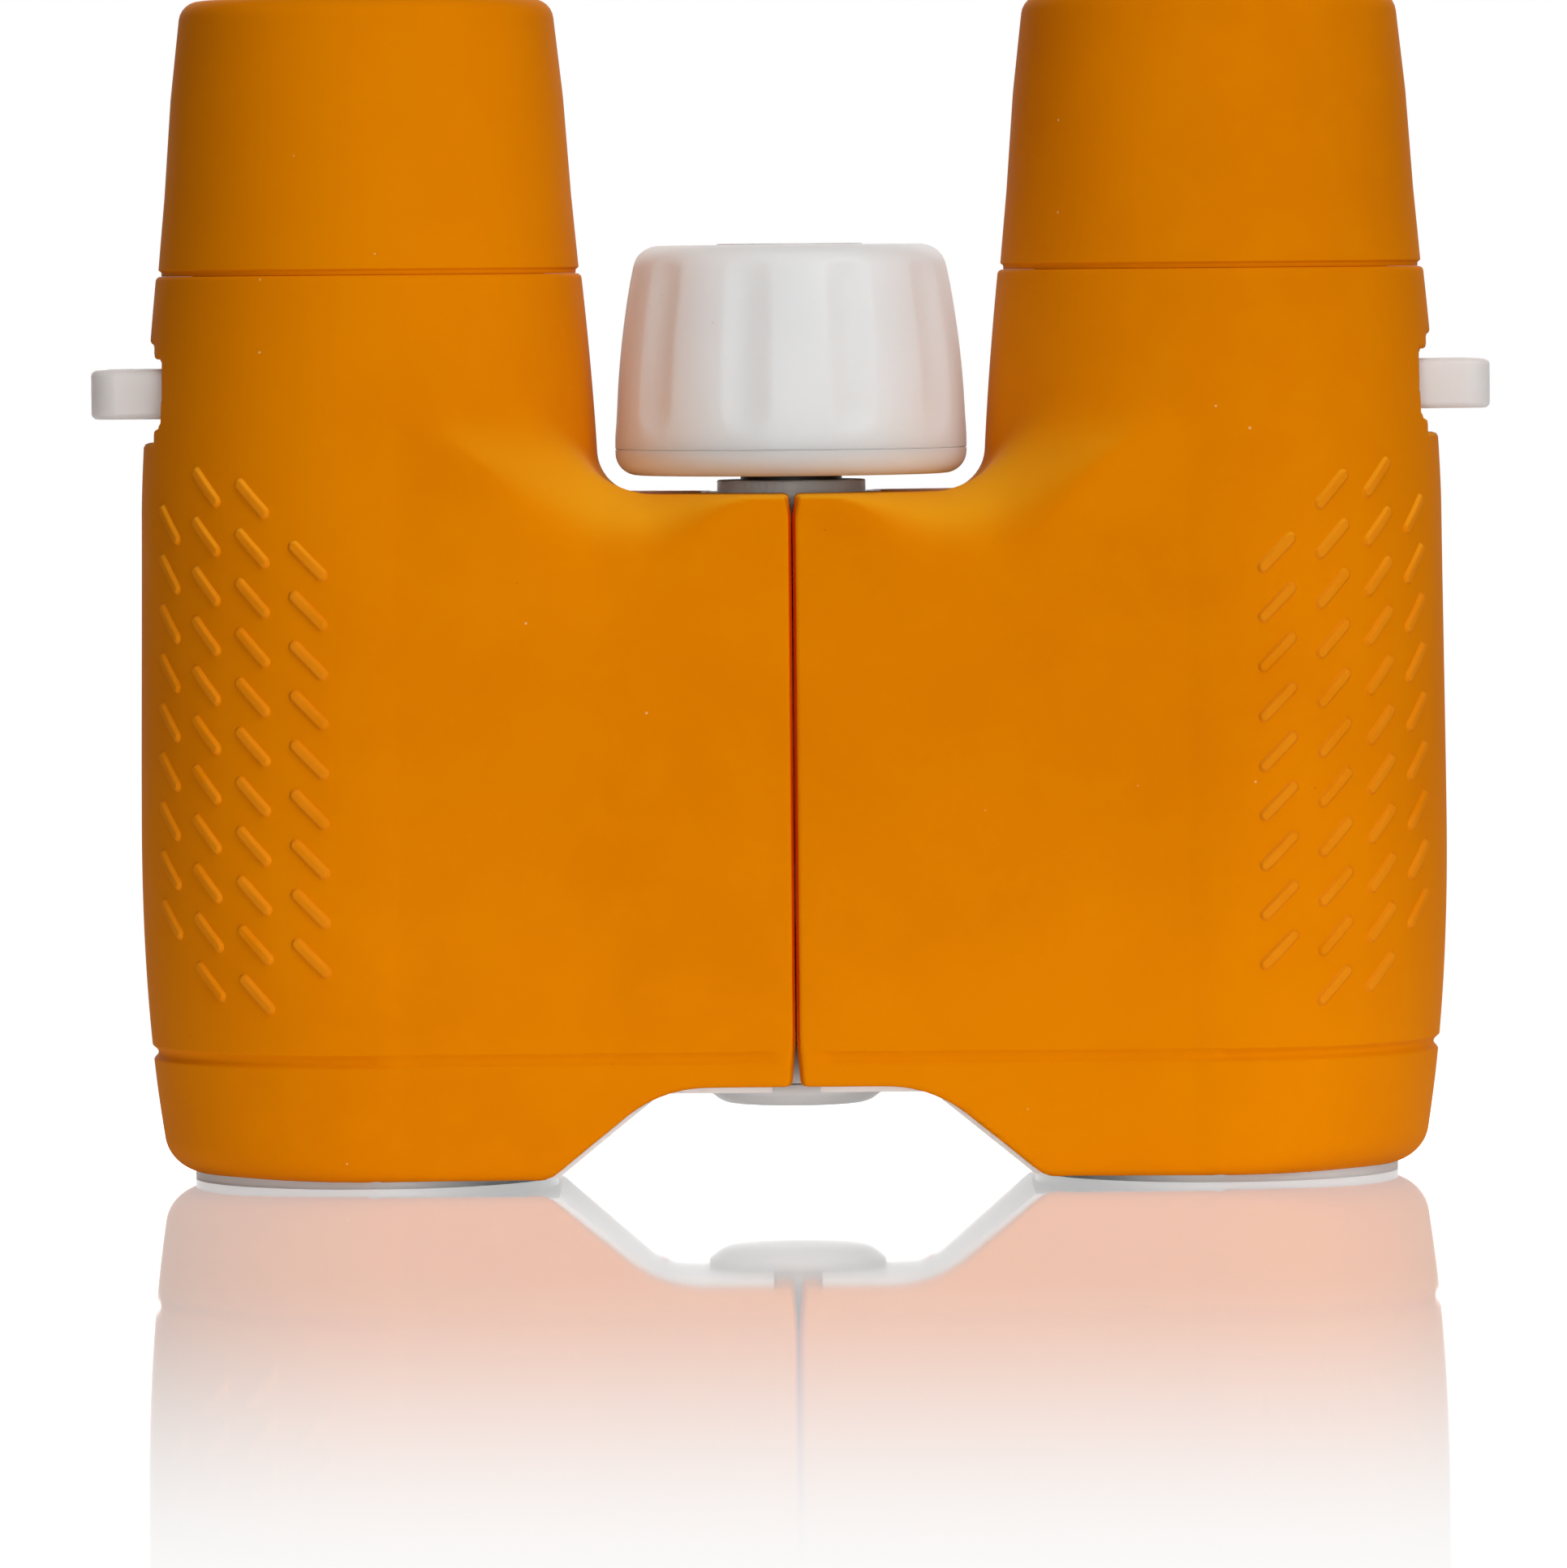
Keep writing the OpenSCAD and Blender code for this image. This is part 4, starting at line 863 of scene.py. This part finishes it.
# Materials of the CAD nodes, with those that finer pieces replace
NODE_PAINTS = {
    "chassis": "white_plastic", "armour": "orange_rubber", "strap_lug": "white_plastic",
    "objective_tube": "black_plastic", "objective_lens": "lens_glass", "objective_ring": "black_plastic",
    "focus_cell": "black_plastic", "focus_lens": "lens_glass", "prism_cage": "black_plastic",
    "lower_prism": "prism_glass", "roof_prism": "prism_glass", "prism_clip": "steel",
    "ocular_tube": "black_plastic", "field_lens": "lens_glass", "eye_lens": "lens_glass",
    "eye_lens_ring": "black_plastic", "eyecup_sleeve": "black_plastic", "eyecup": "orange_rubber",
    "hinge_axle": "steel", "hinge_washers": "steel", "hinge_end_cap": "white_plastic",
    "focus_spindle": "steel", "spindle_clip": "steel", "focus_nut": "brass", "focus_pins": "steel",
    "focus_spool": "brass", "focus_knob": "white_plastic", "knob_base": "white_plastic",
    "knob_collar": "black_plastic", "knob_screw": "steel", "knob_cap": "white_plastic",
}
for name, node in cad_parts.items():
    finish = NODE_PAINTS[name.removeprefix("left_").removeprefix("right_")]
    node.data.materials.clear()
    # The chassis gets the brighter white that lifts its shade
    node.data.materials.append(SHADE_LIFTED_WHITE if name.endswith("chassis") else PAINTS[finish])


# Floor, in metres: half its size, where its shine begins, and where it fades out beside and behind
FLOOR_HALF, SHINE_SPAN, SIDE_FADE, BACK_FADE = 2, (-0.33, -0.09), (0.08, 0.19), (0.03, 0.12)
FLOOR_WHITE, FLOOR_SHINE = 0.95, 0.56


def floor_paint():
    """Pale glossy floor that fades into the white background."""
    paint = new_paint("pale_floor")
    place = paint.place()
    cloud = paint.noise(place, 3.0)
    colour = paint.blend(cloud, rgb(0.64, 0.64, 0.64), rgb(0.68, 0.68, 0.68))
    matt = paint.node("ShaderNodeBsdfDiffuse", None, {"Color": colour})
    gloss = paint.node("ShaderNodeBsdfGlossy", None, {"Color": rgb(1, 1, 1), "Roughness": 0.04})
    glow = paint.node("ShaderNodeEmission", None, {"Color": rgb(1, 1, 1), "Strength": 1.0})
    seen = paint.node("ShaderNodeLightPath", output="Is Camera Ray")
    depth = paint.axis(place, "Y")
    shine = paint.ramp(depth, *SHINE_SPAN)
    pale = paint.node("ShaderNodeMixShader", None, {0: FLOOR_WHITE * seen, 1: matt, 2: glow})
    shiny = paint.node("ShaderNodeMixShader", None, {0: FLOOR_SHINE * shine, 1: pale, 2: gloss})
    beside = paint.ramp(abs(paint.axis(place, "X")), *SIDE_FADE)
    far = 1 - (1 - beside) * (1 - paint.ramp(depth, *BACK_FADE))
    clear = paint.node("ShaderNodeBsdfTransparent")
    paint.finish(paint.node("ShaderNodeMixShader", None, {0: far, 1: shiny, 2: clear}))
    return paint.owner


floor_mesh = bpy.data.meshes.new("floor")
floor_corners = [(FLOOR_HALF * a, FLOOR_HALF * b, 0) for a, b in ((-1, -1), (1, -1), (1, 1), (-1, 1))]
floor_mesh.from_pydata(floor_corners, [], [(0, 1, 2, 3)])
floor_mesh.materials.append(floor_paint())
floor = bpy.data.objects.new("floor", floor_mesh)
bpy.context.scene.collection.objects.link(floor)

# White surroundings for the camera, reflections and glass, dim warm light for the rest
DIM, DIM_COLOUR = 0.11, rgb(1.0, 0.74, 0.58)
world = bpy.data.worlds.new("studio")
bpy.context.scene.world = world
sky = Paint(world)
seen = sky.node("ShaderNodeLightPath", output="Is Camera Ray")
for ray in ("Is Glossy Ray", "Is Transmission Ray"):
    also = sky.node("ShaderNodeLightPath", output=ray)
    seen = sky.node("ShaderNodeMath", {"operation": "MAXIMUM"}, {0: seen, 1: also})
background = sky.node("ShaderNodeBackground", None, {
    "Color": sky.blend(seen, DIM_COLOUR, rgb(1, 1, 1)), "Strength": DIM + (1 - DIM) * seen
})
end = sky.tree.nodes.new("ShaderNodeOutputWorld")
sky.tree.links.new(background.socket, end.inputs["Surface"])


def softbox(name, place, aim, width, height, power, colour=(1, 1, 1)):
    """A rectangular lamp, in metres and watts."""
    lamp = bpy.data.lights.new(name, "AREA")
    lamp.color = colour
    lamp.shape, lamp.size, lamp.size_y, lamp.energy = "RECTANGLE", width, height, power
    made = bpy.data.objects.new(name, lamp)
    made.location = place
    made.rotation_euler = (Vector(aim) - Vector(place)).to_track_quat("-Z", "Y").to_euler()
    bpy.context.scene.collection.objects.link(made)


MIDDLE, UPPER = (0, 0, 0.045), (0, 0, 0.06)
softbox("key", (0.75, -1.06, 0.79), MIDDLE, 0.9, 0.9, 8.9)
softbox("fill", (-0.02, -1.5, 0.16), MIDDLE, 0.9, 0.3, 5.2, (1.0, 0.96, 0.93))
softbox("overhead", (0.1, -0.35, 1.3), MIDDLE, 0.8, 0.8, 4.3)
softbox("back", (0.0, 1.1, 0.4), UPPER, 1.2, 0.7, 4.5)

# Camera: far off, a little above the shelf, and rolled slightly as the photograph is
CAMERA_FAR, CAMERA_UP, AIM_X, AIM_UP = 980.0, 72.7, -0.84, 31.5
FRAME_W, SENSOR, CAMERA_ROLL = 126.8, 36.0, math.radians(0.5)
CLIP_NEAR, CLIP_FAR = 0.01, 20.0
camera = bpy.data.cameras.new("camera")
camera.sensor_width, camera.lens = SENSOR, SENSOR * CAMERA_FAR / FRAME_W
camera.clip_start, camera.clip_end = CLIP_NEAR, CLIP_FAR
eye = bpy.data.objects.new("camera", camera)
place = Vector((AIM_X, -CAMERA_FAR, CAMERA_UP)) * MM
aim = Vector((AIM_X, 0, AIM_UP)) * MM
turn = (aim - place).to_track_quat("-Z", "Y").to_matrix() @ Matrix.Rotation(-CAMERA_ROLL, 3, "Z")
eye.matrix_world = Matrix.Translation(place) @ turn.to_4x4()
bpy.context.scene.collection.objects.link(eye)
bpy.context.scene.camera = eye
bpy.context.scene.view_settings.view_transform = "Standard"
